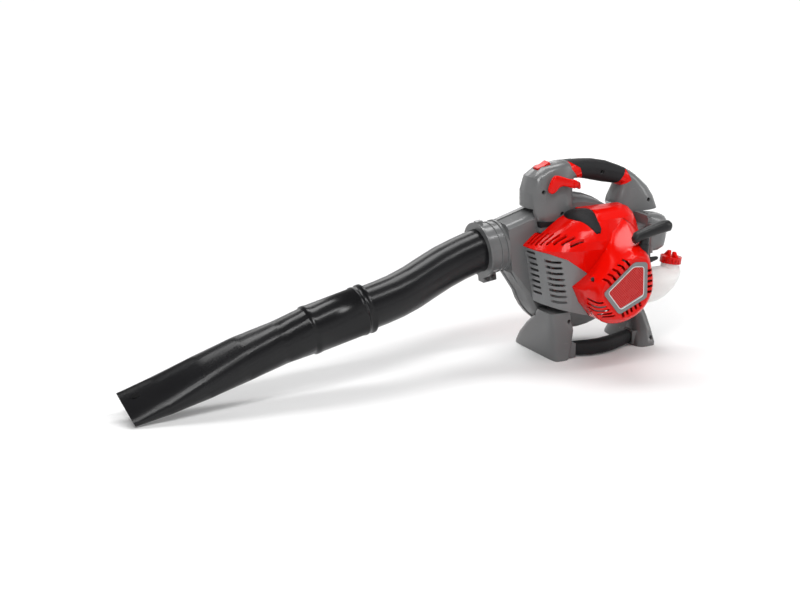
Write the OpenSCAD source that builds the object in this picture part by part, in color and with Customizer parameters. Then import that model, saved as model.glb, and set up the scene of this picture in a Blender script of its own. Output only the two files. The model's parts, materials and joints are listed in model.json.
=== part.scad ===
// Handheld petrol leaf blower, millimetres, +Z up, nozzle towards -X.
// The origin is the centre of the front foot's sole, on the floor under the handle.
// The engine and its starter are on the -Y side, the fan's air intake on the +Y side.

/* [Layout] */
// Distance of the crank axis behind the front foot's centre
crank_x = 55; // [50:1:60]
// Height of the crank axis above the floor
crank_z = 150; // [146:1:158]
// Running clearance of shafts in their bores
fit = 0.05; // [0.02:0.01:0.1]
// Gap between neighbouring mouldings
seam = 0.4; // [0.3:0.1:0.8]

/* [Fan housing] */
// Radius of the scroll at its tongue
scroll_r = 108; // [106:1:110]
// Growth of the scroll's radius from the tongue to the outlet
scroll_growth = 18; // [15:1:20]
// Y of the engine side wall of the scroll
near_y = -22; // [-24:1:-20]
// Y of the split between the two halves
split_y = 20; // [18:1:24]
// Y of the intake wall of the scroll
far_y = 58; // [56:1:62]
// Wall thickness of the fan housing
housing_wall = 3; // [2.5:0.5:4]
// Radius of the air intake
intake_r = 52; // [45:1:56]
// Wall of the outlet collar round the tube
collar_wall = 6.5; // [5:0.5:8]
// Length of the outlet collar
collar_len = 40; // [36:1:46]
// Downward slope of the outlet
outlet_slope = 7; // [5:1:9]

/* [Blower tube] */
// Outer diameter of the tube
tube_d = 74; // [72:1:76]
// Wall thickness of the tube and the nozzle
tube_wall = 2.2; // [1.8:0.2:3]
// Width of the nozzle's mouth
mouth_w = 77; // [70:1:84]
// Height of the nozzle's mouth
mouth_h = 30; // [26:1:36]
// Outer diameter of the nozzle's sleeve
sleeve_d = 81; // [80:1:84]

/* [Fan and crank] */
// Radius of the impeller
fan_r = 96; // [88:1:98]
// Width of the impeller's blades
blade_w = 46; // [36:1:50]
// Number of blades
blade_count = 12; // [9:1:16]
// Thickness of a blade
blade_t = 2.4; // [1.6:0.2:3]
// Radius of the crankshaft's main journals
journal_r = 6; // [5:0.5:7]
// Outer radius of the crank bearings
bearing_r = 16; // [15:0.5:18]
// Width of the crank bearings
bearing_w = 9; // [7:1:11]
// Radius of the flywheel
flywheel_r = 50; // [44:1:50]
// Y of the middle of the cylinder
cylinder_y = -50; // [-52:1:-48]
// Cylinder bore
bore = 34; // [30:1:36]
// Number of cooling fins
fin_count = 7; // [5:1:8]

/* [Engine shroud] */
// Wall thickness of the engine cover, guard and starter housing
shroud_wall = 2.5; // [2:0.5:3]
// Width of the cooling slots
slot_w = 4.6; // [4:0.2:5.4]
// Number of slots in each column of the guard
guard_rows = 8; // [6:1:9]
// Number of slots in the cover's front panel
cover_slots = 8; // [6:1:9]

/* [Starter] */
// Radius of the starter housing's drum
starter_r = 69; // [67:1:71]
// Y of the starter housing's face
starter_face_y = -175; // [-178:1:-173]
// Radius of the rope pulley's groove
pulley_groove_r = 27; // [24:1:30]
// Diameter of the starter rope
rope_d = 3.5; // [3:0.5:4]

/* [Handle] */
// Half width of the grip
grip_half_w = 19; // [17:1:21]
// Thickness of the soft cover on the grip
grip_skin = 3; // [2:0.5:4]
// Half width of the front post at its base
post_half_w = 33; // [30:1:35]
// Radius of the trigger's pin
pin_r = 2.5; // [2:0.5:3]

/* [Fuel and air] */
// Depth of the fuel tank along Y
tank_depth = 68; // [60:1:70]
// Wall thickness of the fuel tank
tank_wall = 2; // [1.5:0.5:3]
// Outer diameter of the fuel cap
cap_d = 38; // [37:1:42]
// Depth of the air filter cover along Y

/* [Feet] */
// Width of the front foot's sole
foot_w = 140; // [130:1:150]
// Length of the front foot's sole
foot_len = 30; // [26:1:34]
// Diameter of the base grip
base_grip_d = 26; // [24:1:28]

/* [Hidden] */
$fn = 48;

grey = [0.45, 0.46, 0.47];
light_grey = [0.55, 0.56, 0.57];
red = [0.88, 0.08, 0.05];
black = [0.1, 0.1, 0.11];
steel = [0.7, 0.7, 0.72];
alloy = [0.78, 0.79, 0.8];

// ---- Shapes shared by the sub-parts ----

function spow(v, e) = sign(v) * pow(abs(v), e);

// Rounded ring about centre c: half width a along Y, half height b along the direction `tilt` of the
// XZ plane, with superellipse exponent n
function ring(c, tilt, a, b, n, k = 28) = [for (i = [0:k - 1])
    let (t = 360 * i / k, s = a * spow(cos(t), 2 / n), u = b * spow(sin(t), 2 / n))
    [c[0] + u * cos(tilt), c[1] + s, c[2] + u * sin(tilt)]];

// The half of such a ring on one side of its middle: side 1 is +Y, side -1 is -Y
function half_ring(c, tilt, a, b, n, side, k = 14) = [for (i = [0:k])
    let (t = (side > 0 ? -90 : 90) + 180 * i / k,
        s = i == 0 || i == k ? 0 : a * spow(cos(t), 2 / n),
        u = b * spow(sin(t), 2 / n))
    [c[0] + u * cos(tilt), c[1] + s, c[2] + u * sin(tilt)]];

// Rounded ring lying flat at height z, with half widths a along X and b along Y
function flat_ring(c, a, b, n, k = 28) = [for (i = [0:k - 1])
    let (t = -360 * i / k)
    [c[0] + a * spow(cos(t), 2 / n), c[1] + b * spow(sin(t), 2 / n), c[2]]];

function ring_sides(first, k, rows, out) = [for (i = [0:rows - 2]) for (j = [0:k - 1])
    let (a = first + i * k + j, b = first + i * k + (j + 1) % k, c = b + k, d = a + k)
    each (out ? [[a, b, c], [a, c, d]] : [[c, b, a], [d, c, a]])];

function ring_cap(first, k, out) = [for (j = [1:k - 2])
    out ? [first, first + j + 1, first + j] : [first, first + j, first + j + 1]];

function ring_rim(a, b, k) = [for (j = [0:k - 1])
    let (m = (j + 1) % k) each [[a + j, b + j, b + m], [a + j, b + m, a + m]]];

function reversed(v) = [for (i = [len(v) - 1:-1:0]) v[i]];

// Closed solid through a list of rings
module loft(rings) {
    k = len(rings[0]);
    n = len(rings);
    polyhedron([for (r = rings) each r],
        concat(ring_sides(0, k, n, true), ring_cap(0, k, true), ring_cap((n - 1) * k, k, false)));
}

// Shell between outer rings and inner rings, open at its last ring and, where `through`, at its first
module lofted_shell(outer, inner, through = false) {
    k = len(outer[0]);
    n = len(outer);
    m = len(inner);
    first = n * k;
    start = through ? ring_rim(0, first, k) : concat(ring_cap(0, k, true), ring_cap(first, k, false));
    polyhedron([for (r = concat(outer, inner)) each r],
        concat(ring_sides(0, k, n, true), ring_sides(first, k, m, false), start,
            ring_rim(first + (m - 1) * k, (n - 1) * k, k)));
}

// A profile of the XZ plane carried from y0 to y1
module along_y(y0, y1) translate([0, y1, 0]) rotate([90, 0, 0]) linear_extrude(y1 - y0) children();

// A round bar along Y
module axle(x, z, y0, y1, r) translate([x, y0, z]) rotate([-90, 0, 0]) cylinder(h = y1 - y0, r = r);

// A profile of [radius, y] points turned about the crank axis
module about_crank() translate([crank_x, 0, crank_z]) rotate([-90, 0, 0]) rotate_extrude() children();

// Outline of a slot of width w with round ends between the points p and q
function slot_outline(p, q, w) = let (a = atan2(q[1] - p[1], q[0] - p[0]))
    [for (end = [0, 1], t = [-90:45:90]) let (c = end == 0 ? q : p, u = a + 180 * end + t)
        [c[0] + w / 2 * cos(u), c[1] + w / 2 * sin(u)]];

// Such a slot in the XZ plane, cut from y0 to y1
module slot_y(p, q, w, y0, y1) along_y(y0, y1) polygon(slot_outline(p, q, w));

// Rounded ring across Y about centre c: half width a along X, half height b along Z
function side_ring(c, a, b, n, k = 20) = [for (i = [0:k - 1])
    let (t = 360 * i / k) [c[0] + a * spow(cos(t), 2 / n), c[1], c[2] + b * spow(sin(t), 2 / n)]];

// A pan head screw along +Y from its seat at y
module screw_y(x, z, y, len, r = screw_r) {
    axle(x, z, y, y + len, r);
    difference() {
        axle(x, z, y - 3, y, 2 * r);
        translate([x, y - 1.5, z]) cube([2.4 * r, 3.1, 1], center = true);
    }
}

function polar(r, t) = [crank_x + r * cos(t), crank_z + r * sin(t)];

// ---- Fan housing ----

tongue_angle = 200;
front_seat_z = crank_z + 82;
rear_seat_z = crank_z + 80;
mount_h = 9;
post_x = crank_x - 50;
mount_rear_x = crank_x + 121;
rear_foot_x = crank_x + 126;
foot_top_z = 76;
outlet_angle = 468;
scroll_steps = 32;
mouth_x = crank_x - 135;
mouth_z = crank_z + 47;
collar_d = tube_d + 2 * collar_wall;
mouth_half = collar_d / 2 + 0.5;

function scroll_radius(t) = scroll_r + scroll_growth * (t - tongue_angle) / (outlet_angle - tongue_angle);

// Outline of the scroll and its outlet, drawn in by d, ending at the mouth moved by `ahead` along the outlet
function scroll_outline(d, ahead = 0) = concat(
    [for (i = [0:scroll_steps])
        let (t = tongue_angle + (outlet_angle - tongue_angle) * i / scroll_steps)
        polar(scroll_radius(t) - d, t)],
    [for (s = [1, -1]) [mouth_x - s * (mouth_half - d) * sin(outlet_slope) - ahead * cos(outlet_slope),
        mouth_z + s * (mouth_half - d) * cos(outlet_slope) - ahead * sin(outlet_slope)]]);

function scroll_ring(y, d, ahead = 0) = [for (p = scroll_outline(d, ahead)) [p[0], y, p[1]]];

near_edge = 8;
far_edge = 24;
screw_r = 1.6;
// Front foot's screw: its x and z, and the Y of its head's seat; the handle's screw into the housing
foot_screw = [crank_x - 47, foot_top_z - 4];
foot_screw_y = near_y - 40;
post_screw = [post_x + 10, front_seat_z + 21];

// The outlet's axis: points and turns its children from the mouth along the blowing direction
module at_mouth() translate([mouth_x, split_y, mouth_z]) rotate([0, -90 - outlet_slope, 0]) children();

// Bracket behind the scroll: a shelf for the rear post's mount above, and one for the rear foot below
module rear_bracket() {
    along_y(near_y, split_y - 5) polygon([polar(scroll_radius(395) - 2, 395), [mount_rear_x + 24, 218],
        [mount_rear_x + 28, 223], [mount_rear_x + 28, rear_seat_z], [mount_rear_x - 32, rear_seat_z]]);
    along_y(near_y, split_y - 5) polygon([polar(scroll_radius(308) - 2, 308), [rear_foot_x - 12, foot_top_z],
        [rear_foot_x + 14, foot_top_z], [rear_foot_x + 14, foot_top_z + 7],
        [rear_foot_x - 10, foot_top_z + 11], polar(scroll_radius(326) - 2, 326)]);
}

// Ledge on the engine side wall that the front post's mount stands on
module front_ledge() along_y(near_y - 11, near_y) polygon([[post_x - 34, front_seat_z - 8],
    [post_x + 14, front_seat_z - 8], [post_x + 14, front_seat_z], [post_x - 34, front_seat_z]]);

module fan_housing_inner() {
    w = housing_wall;
    outer = [scroll_ring(near_y, near_edge), scroll_ring(near_y + 4, near_edge / 2),
        scroll_ring(near_y + 11, 1), scroll_ring(split_y - 5, 0), scroll_ring(split_y - 4.8, -2),
        scroll_ring(split_y, -2)];
    inner = [scroll_ring(near_y + w, near_edge + w, -w), scroll_ring(near_y + 4 + w, near_edge / 2 + w, -w),
        scroll_ring(near_y + 11 + w, w, -w), scroll_ring(split_y, w, -w)];
    color(grey) {
        difference() {
            lofted_shell(outer, inner);
            axle(crank_x, crank_z, near_y - 1, near_y + w + 1, bearing_r - 2);
            at_mouth() cylinder(h = 20, r = tube_d / 2 - tube_wall, center = true);
            for (p = [foot_screw, post_screw])
                axle(p[0], p[1], near_y - 1, near_y + w + 1, screw_r + fit);
        }
        rear_bracket();
        front_ledge();
    }
}

function flipped(rings) = [for (r = rings) [for (p = r) [p[0], -p[1], p[2]]]];

module fan_housing_outer() {
    w = housing_wall;
    step = (far_y - split_y) / 4;
    outer = [scroll_ring(far_y, far_edge), scroll_ring(far_y - step, far_edge * 0.6),
        scroll_ring(far_y - 2 * step, far_edge * 0.28), scroll_ring(split_y + 5, 0),
        scroll_ring(split_y + 4.8, -2), scroll_ring(split_y, -2)];
    inner = [scroll_ring(far_y - w, far_edge + w, -w),
        scroll_ring(far_y - step - w, far_edge * 0.6 + w, -w),
        scroll_ring(far_y - 2 * step - w, far_edge * 0.28 + w, -w), scroll_ring(split_y, w, -w)];
    color(grey)
        difference() {
            union() {
                mirror([0, 1, 0]) lofted_shell(flipped(outer), flipped(inner));
                for (z = [hinge_half, -hinge_half - 6]) {
                    translate([hinge_x - 4, far_y - 1, crank_z + z]) cube([8, hinge_y - far_y + 1, 6]);
                    translate([hinge_x, hinge_y, crank_z + z]) cylinder(h = 6, r = 4);
                }
            }
            axle(crank_x, crank_z, far_y - 10, far_y + 1, intake_r);
            axle(latch_x, crank_z, far_y - 10, far_y + 1, latch_r + 1.2);
            translate([hinge_x, hinge_y, crank_z - 30]) cylinder(h = 60, r = 2 + fit);
            at_mouth() cylinder(h = 20, r = tube_d / 2 - tube_wall, center = true);
        }
}

// Outlet collar: a sleeve with a front lip, a hanging lug with two screw holes and a hook on top
module tube_clamp() {
    bore_r = tube_d / 2 + 0.02;
    color(grey)
        difference() {
            union() {
                at_mouth() {
                    cylinder(h = collar_len, r = collar_d / 2, $fn = 20);
                    cylinder(h = 5, r = collar_d / 2 + 2);
                    translate([0, 0, collar_len - 4]) cylinder(h = 4, r = collar_d / 2 + 5);
                    translate([0, 0, 14]) cylinder(h = 3, r = collar_d / 2 + 1.5);
                }
                at_mouth() translate([-collar_d / 2 - 14, -9, 14]) cube([18, 18, collar_len - 14]);
                at_mouth() translate([collar_d / 2 - 2, -5, collar_len - 12]) cube([10, 10, 12]);
            }
            at_mouth() translate([0, 0, -1]) cylinder(h = collar_len + 2, r = bore_r);
            for (d = [20, 32])
                at_mouth() translate([-collar_d / 2 - 7.5, 0, d]) rotate([90, 0, 0])
                    cylinder(h = 30, r = 2.2, center = true);
        }
}

module clamp_screws() color(steel)
    for (d = [20, 32])
        at_mouth() translate([-collar_d / 2 - 7.5, -9, d]) rotate([90, 0, 0]) {
            cylinder(h = 3, r = 4);
            translate([0, 0, -16]) cylinder(h = 16, r = 2);
        }

// ---- Blower tube and nozzle ----

// Centre line of the tube: x, y, z and the outer radius
tube_r = tube_d / 2;
mouth_dx = cos(outlet_slope);
mouth_dz = sin(outlet_slope);
function outlet_point(d) = [mouth_x - d * mouth_dx, split_y, mouth_z - d * mouth_dz];
joint_x = -352;
joint_y = -16;
joint_z = 130;
joint_slope = 12.5;
sleeve_len = 66;
function sleeve_point(d) = [joint_x - d * cos(joint_slope), joint_y, joint_z - d * sin(joint_slope)];
bend = [[-160, 18, 182, 9], [-194, 13, 172.5, 15], [-228, 4, 162, 16], [-262, -6, 151.5, 15.5],
    [-296, -13, 142.5, 14], [-326, -15.6, 135.7, 12.8]];

function tube_rings(r) = concat(
    [for (d = [1, collar_len + 6]) ring(outlet_point(d), 90 + outlet_slope, r, r, 2)],
    [for (p = bend) ring([p[0], p[1], p[2]], 90 + p[3], r, r, 2)],
    [for (d = [0, sleeve_len - 4]) ring(sleeve_point(d), 90 + joint_slope, r, r, 2)]);

module blower_tube() color(black)
    lofted_shell(tube_rings(tube_r), tube_rings(tube_r - tube_wall), through = true);

// Nozzle sections: distance from the sleeve's end, drop of the middle below the sleeve's line, sideways
// shift, half width, half height, roundness
bore_gap = 0.6;
tip_dist = 430;
nozzle_form = [[100, 0.5, 0, 36, 35, 2], [160, 4, 1, 35.5, 31, 2.15], [230, 9, 1, 36, 26.5, 2.4],
    [300, 14, 1, 37, 22, 2.7], [370, 18, 1, 38, 18, 3]];
mouth_form = [tip_dist, 19.5, 1, mouth_w / 2, mouth_h / 2, 3.2];

function nozzle_ring(f, inset) = let (p = sleeve_point(f[0]))
    ring([p[0], p[1] + f[2], p[2] - f[1]], 90 + joint_slope + 2.5, f[3] - inset, f[4] - inset, f[5]);

function sleeve_ring(d, r) = ring(sleeve_point(d), 90 + joint_slope, r, r, 2);

module nozzle() {
    r = sleeve_d / 2;
    outer = concat([sleeve_ring(0, r + 1.6), sleeve_ring(5, r + 1.6), sleeve_ring(5.5, r),
        sleeve_ring(13, r), sleeve_ring(13.5, r + 1.2), sleeve_ring(17, r + 1.2), sleeve_ring(17.5, r),
        sleeve_ring(96, r), sleeve_ring(102, r + 0.8), sleeve_ring(108, r + 0.8), sleeve_ring(110, r - 1.6)],
        [for (f = nozzle_form) if (f[0] > 110) nozzle_ring(f, 0)], [nozzle_ring(mouth_form, 0)]);
    inner = concat([sleeve_ring(0, tube_r + bore_gap), sleeve_ring(sleeve_len, tube_r + bore_gap),
        sleeve_ring(sleeve_len + 1, tube_r - tube_wall)],
        [for (f = nozzle_form) nozzle_ring(f, tube_wall)], [nozzle_ring(mouth_form, tube_wall)]);
    color(black) lofted_shell(outer, inner, through = true);
}

// ---- Handle ----

// Sections along the handle from the front post's base over the grip to the rear post's base:
// x and z of the middle, direction of the outer side, half width, half thickness, roundness
post_z = front_seat_z + mount_h;
rear_z = rear_seat_z + mount_h;
front_post = [[post_x + 1, post_z, 180, post_half_w, 37, 3.6],
    [post_x - 2, post_z + 16, 180, post_half_w + 1, 43, 3.6],
    [post_x - 3, post_z + 48, 178, post_half_w - 1, 44, 3.4],
    [post_x + 1, post_z + 68, 170, post_half_w - 3, 42, 3.2],
    [post_x + 13, post_z + 78, 158, post_half_w - 6, 35, 2.8],
    [post_x + 32, post_z + 81, 138, post_half_w - 10, 23.5, 2.6]];
grip_line = [[post_x + 50, post_z + 80.5, 117, grip_half_w + 1, 18.5, 2.5],
    [post_x + 68, post_z + 79, 98, grip_half_w, 17.6, 2.4],
    [post_x + 88, post_z + 76, 86, grip_half_w, 18.6, 2.4],
    [post_x + 112, post_z + 70.5, 75, grip_half_w, 18.8, 2.4],
    [post_x + 137, post_z + 63, 62, grip_half_w, 16.8, 2.5],
    [post_x + 154, post_z + 56.5, 38, grip_half_w + 1, 15.5, 2.5]];
rear_post = [[mount_rear_x - 9, rear_z + 50, 14, 23, 22, 2.7],
    [mount_rear_x - 3, rear_z + 38, 4, 26, 32, 2.8],
    [mount_rear_x, rear_z + 22, 0, 29, 41, 3],
    [mount_rear_x + 2, rear_z, 0, 31, 48, 3]];

function handle_ring(s, inset, side) = let (c = [s[0], 0, s[1]])
    side == 0 ? ring(c, s[2], s[3] - inset, s[4] - inset, s[5])
        : half_ring(c, s[2], s[3] - inset, s[4] - inset, s[5], side);

function between(p, q, f) = [for (i = [0:5]) p[i] + (q[i] - p[i]) * f];

// Where the soft grip and its two red collars begin and end
collar_a = between(front_post[5], grip_line[0], 0.35);
collar_b = between(grip_line[0], grip_line[1], 0.3);
collar_c = between(grip_line[4], grip_line[5], 0.35);
collar_d2 = between(grip_line[5], rear_post[0], 0.55);

function handle_sections(side) = concat(
    [for (s = front_post) handle_ring(s, 0, side)],
    [handle_ring(collar_a, 0, side), handle_ring(collar_a, grip_skin, side)],
    [for (s = grip_line) handle_ring(s, grip_skin, side)],
    [handle_ring(collar_d2, grip_skin, side), handle_ring(collar_d2, 0, side)],
    [for (s = rear_post) handle_ring(s, 0, side)]);

// Room for the scroll below the posts
module scroll_room() along_y(near_y - seam, split_y + 40) polygon(scroll_outline(-mount_h));

module handle_screw_holes() for (p = handle_holes) {
    axle(p[0], p[1], -60, p[2], 2 * screw_r + 0.4);
    axle(p[0], p[1], p[2] - 1, p[3] + 1, screw_r + fit);
}

// Room for the trigger, the switch and their pins, cut from both halves
module handle_pockets() {
    translate([trigger_x - 12, -trigger_w / 2 - seam, trigger_z - 16])
        cube([44, trigger_w + 2 * seam, 26]);
    axle(trigger_x, trigger_z, -pin_len / 2, pin_len / 2, pin_r + 0.02);
    at_switch() {
        translate([-switch_len / 2 - 1.2, -8.5, -8]) cube([switch_len + 2.4, 17, 20]);
        axle(0, 0, -switch_pin / 2 - 0.4, switch_pin / 2 + 0.4, pin_r + fit);
    }
    axle(lever_x, lever_z, lever_y - 20, lever_y + stub_len + 0.5, 3 + fit);
    translate([cable_route[0][0], cable_route[0][1], cable_route[0][2]]) rotate([0, 90, 0])
        cylinder(h = 20, r = cable_r);
    handle_screw_holes();
}

trigger_x = post_x + 34;
trigger_z = post_z + 56;
trigger_w = 13;
pin_len = 34;
// Screws in the handle's engine side: x, z, Y of the head's seat and Y of the point
handle_holes = [[post_x - 26, post_z + 52, -20, 9], [post_screw[0], post_screw[1], near_y - 5, near_y + 2.6],
    [mount_rear_x + 22, rear_z + 18, -18, 9], [post_x + 100, post_z + 73, -8, 9]];

module handle_half(side) {
    half = side > 0 ? [0, 60] : [-60, 0];
    difference() {
        loft(reversed(handle_sections(side)));
        intersection() {
            scroll_room();
            translate([-200, half[0], 0]) cube([600, half[1] - half[0], 400]);
        }
        handle_pockets();
    }
}

module handle_half_near() color(grey) handle_half(-1);

module handle_half_far() color(grey) handle_half(1);

// A sleeve over the handle's core through the given sections
module core_sleeve(sections) lofted_shell([for (s = reversed(sections)) handle_ring(s, 0, 0)],
    [for (s = reversed(sections)) handle_ring(s, grip_skin, 0)], through = true);

module handle_grip() color(black)
    difference() {
        core_sleeve([collar_b, grip_line[1], grip_line[2], grip_line[3], grip_line[4], collar_c]);
        handle_screw_holes();
    }

module grip_collars() color(red) {
    core_sleeve([collar_a, grip_line[0], collar_b]);
    core_sleeve([collar_c, grip_line[5], collar_d2]);
}

module front_mount() color(black)
    along_y(near_y - 11, near_y - seam) polygon([[post_x - 32, front_seat_z], [post_x + 12, front_seat_z],
        [post_x + 14, post_z], [post_x - 34, post_z]]);

module rear_mount() color(black)
    loft([for (h = [0, 0.25, 0.6, 1])
        flat_ring([mount_rear_x - 2, -3.5, rear_seat_z + mount_h * h], 24 + 5 * abs(h - 0.5),
            17 + 3 * abs(h - 0.5),
            3, 24)]);

// ---- Controls on the handle ----

// Trigger: a lever below the grip with a hooked tip and a ribbed underside
module throttle_trigger() color(red)
    translate([trigger_x, 0, trigger_z])
        difference() {
            union() {
                along_y(-trigger_w / 2, trigger_w / 2) polygon([[-4, 5], [4, 6.5], [14, 1.5], [30, -4.5],
                    [38, -6], [41.5, -10], [40, -16], [36.5, -15], [33, -11.5], [24, -11], [12, -8.5],
                    [2, -6], [-5, -3]]);
                axle(0, 0, -trigger_w / 2, trigger_w / 2, 6.5);
            }
            axle(0, 0, -trigger_w, trigger_w, pin_r + fit);
            for (i = [0:4])
                axle(12 + 5 * i, -9.9 - 0.7 * i, -trigger_w, trigger_w, 1);
        }

module trigger_pin() color(steel) axle(trigger_x, trigger_z, -pin_len / 2, pin_len / 2, pin_r);

// Cruise lever: a drop shaped lever on a stub pin in the post's engine side
lever_x = post_x + 30;
lever_z = post_z + 62;
lever_y = -post_half_w - 0.6;
stub_len = 22;

// Outline of a bar with round ends of radii r1 at p and r2 at q
function bar_outline(p, q, r1, r2) = let (a = atan2(q[1] - p[1], q[0] - p[0]),
    b = acos((r1 - r2) / norm(q - p)))
    concat([for (i = [0:6]) let (t = a + b + i * (360 - 2 * b) / 6) p + r1 * [cos(t), sin(t)]],
        [for (i = [0:6]) let (t = a - b + i * 2 * b / 6) q + r2 * [cos(t), sin(t)]]);

module cruise_lever() color(red) {
    at = [lever_x, lever_z];
    along_y(lever_y - 7, lever_y) {
        polygon(bar_outline(at, at + [-15, -17], 7, 5.5));
        polygon(bar_outline(at, at + [15, -2], 7, 4));
    }
    axle(lever_x, lever_z, lever_y - 1, lever_y + stub_len, 3);
}

// Stop switch: a rocker in a pocket on the front post's shoulder
switch_x = post_x - 12;
switch_z = post_z + 89.5;
switch_len = 26;
switch_pin = 20;
module at_switch() translate([switch_x, 0, switch_z]) rotate([0, -22, 0]) children();

module stop_switch() color(red)
    at_switch() difference() {
        h = switch_len / 2;
        union() {
            along_y(-8, 8) polygon([[-h, 0], [1 - h, 5], [0, 3.4], [h - 1, 5], [h, 0], [h - 5, -4],
                [5 - h, -4]]);
            axle(0, 0, -switch_pin / 2, switch_pin / 2, pin_r);
        }
        for (x = [3 - h, 5.5 - h, 8 - h])
            translate([x, 0, 5]) cube([1, 17, 1.2], center = true);
    }

// ---- Engine ----

crankcase_end = near_y - 54;
flywheel_y0 = near_y - 74;
head_z = crank_z + 86;
case_top = crank_z + 40;
module crankcase() color(alloy)
    difference() {
        union() {
            axle(crank_x, crank_z, crankcase_end, near_y, 38);
            axle(crank_x, crank_z, near_y - 5, near_y, 46);
            translate([crank_x - 31, cylinder_y - 25, crank_z]) cube([62, 50, case_top - crank_z]);
            at_coil() {
                translate([30, crankcase_end, -15]) cube([flywheel_r - 14, 7, 30]);
                for (z = [-11, 11])
                    axle(flywheel_r + 9, z, coil_y + 11, crankcase_end + 3, 3.5);
            }
        }
        axle(crank_x, crank_z, crankcase_end + bearing_w + 3, near_y - bearing_w - 3, 29);
        for (y = [crankcase_end, near_y - bearing_w])
            axle(crank_x, crank_z, y - 1, y + bearing_w + (y < crankcase_end + 1 ? 0 : 1), bearing_r);
        axle(crank_x, crank_z, crankcase_end - 1, near_y + 1, bearing_r - 4);
        translate([crank_x, cylinder_y, crank_z]) cylinder(h = 60, r = bore / 2);
    }

module crank_bearings() color(steel)
    for (y = [crankcase_end, near_y - bearing_w])
        difference() {
            axle(crank_x, crank_z, y, y + bearing_w, bearing_r - 0.02);
            axle(crank_x, crank_z, y - 1, y + bearing_w + 1, journal_r + fit);
        }

// Barrel with a stack of square fins, an exhaust port to the front and an inlet port to the rear
module engine_cylinder() color(alloy)
    difference() {
        union() {
            translate([crank_x, cylinder_y, case_top]) cylinder(h = head_z - case_top, r = bore / 2 + 4);
            translate([crank_x - 27, cylinder_y - 22, case_top]) cube([54, 44, 4]);
            for (i = [0:fin_count - 1])
                translate([crank_x, cylinder_y,
                    case_top + 12 + i * (head_z - case_top - 14) / (fin_count - 1)])
                    linear_extrude(2) polygon([for (s = [[1, 1], [-1, 1], [-1, -1], [1, -1]])
                        for (c = s[0] == s[1] ? [[32, 20], [24, 26]] : [[24, 26], [32, 20]])
                        [s[0] * c[0], s[1] * c[1]]]);
            translate([crank_x - 32, cylinder_y - 11, case_top + 8]) cube([64, 22, 20]);
        }
        translate([crank_x, cylinder_y, case_top - 1]) cylinder(h = head_z - case_top - 7, r = bore / 2);
        translate([crank_x, cylinder_y, head_z - 12]) cylinder(h = 20, r = 5);
        translate([crank_x, cylinder_y, case_top + 18]) rotate([0, 90, 0])
            cylinder(h = 80, r = 7, center = true);
    }

// Spark plug: heights of its hexagon, its insulator and its terminal above the head
plug_form = [6, 8, 3];
plug_r = 9;
module spark_plug() translate([crank_x, cylinder_y, head_z]) {
    color(steel) translate([0, 0, -8]) cylinder(h = 8, r = 5 - 0.02);
    color(steel) cylinder(h = plug_form[0], r = plug_r, $fn = 6);
    color("white") translate([0, 0, plug_form[0]]) cylinder(h = plug_form[1], r = 4.5);
    color(steel) translate([0, 0, plug_form[0] + plug_form[1]]) cylinder(h = plug_form[2], r = 3);
}

// Plug cap: a boot that rises out of the cover's top and hangs down to a tip on the engine side.
// Sections: Y, x and z of the middle, half width, half height
cap_form = [[near_y - 73, -6, 77, 3.5, 3.5], [near_y - 69, -5.5, 80.5, 8, 6], [near_y - 58, -7, 89, 14, 8],
    [near_y - 44, -11, 96.5, 21, 9.5], [near_y - 30, -14, 100, 27, 10.5], [near_y - 18, -14, 100.5, 27, 10],
    [near_y - 13.5, -14, 100, 24, 8]];
module cap_body(grow = 0) loft([for (c = cap_form)
    side_ring([crank_x + c[1], c[0] + (c == cap_form[0] ? -grow : 0), crank_z + c[2]], c[3] + grow,
        c[4] + grow, 2.6)]);

module plug_cap() color(black)
    difference() {
        cap_body();
        translate([crank_x - 60, cylinder_y - 27, head_z - 20]) cube([120, 60, 20 + seam]);
        translate([crank_x, cylinder_y, head_z]) cylinder(h = plug_form[0] + seam, r = plug_r + seam);
        translate([crank_x, cylinder_y, head_z])
            cylinder(h = plug_form[0] + plug_form[1] + plug_form[2] + seam, r = 5);
    }

// Ignition coil beside the flywheel's rim, on two posts of the crankcase
coil_y = flywheel_y0 + 1;
coil_angle = 20;
module at_coil() translate([crank_x, 0, crank_z]) rotate([0, -coil_angle, 0]) children();

module ignition_coil() at_coil() {
    color(black) translate([flywheel_r + 14.5, coil_y, -13]) cube([10, 14, 26]);
    color(steel) difference() {
        union() {
            for (z = [-17, 7])
                translate([flywheel_r - 4, coil_y + 3, z]) cube([18, 8, 10]);
            translate([flywheel_r + 12, coil_y + 3, -17]) cube([2.5, 8, 34]);
        }
        axle(0, 0, coil_y - 1, coil_y + 20, flywheel_r + seam);
    }
}

// ---- Exhaust and shroud ----

// Muffler outline seen from the engine side, grown by g
muffler_x = crank_x - 87;
function muffler_outline(g) = [[muffler_x + 14, 122 - g], [muffler_x + 39, 122 - g], [muffler_x + 45 + g,
    128],
    [muffler_x + 45 + g, 178], [muffler_x + 39, 184 + g], [muffler_x + 3, 184 + g], [muffler_x - g, 178],
    [muffler_x + 10 - g, 128]];

// Two pressed halves with a crimped rim, a tail pipe to the front and a neck to the exhaust port
module muffler() color(steel) {
    port_x = crank_x - 32;
    along_y(cylinder_y - 22, cylinder_y + 19) polygon(muffler_outline(0));
    along_y(cylinder_y - 3, cylinder_y) polygon(muffler_outline(1.2));
    translate([muffler_x + 12, cylinder_y - 10, 136]) rotate([0, -90, 0]) cylinder(h = 8, r = 5);
    translate([port_x - 22, cylinder_y - 9, 180]) cube([21, 18, case_top + 24 - 180]);
    translate([port_x - 3, cylinder_y - 14, case_top + 5]) cube([3, 28, 24]);
}

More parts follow.
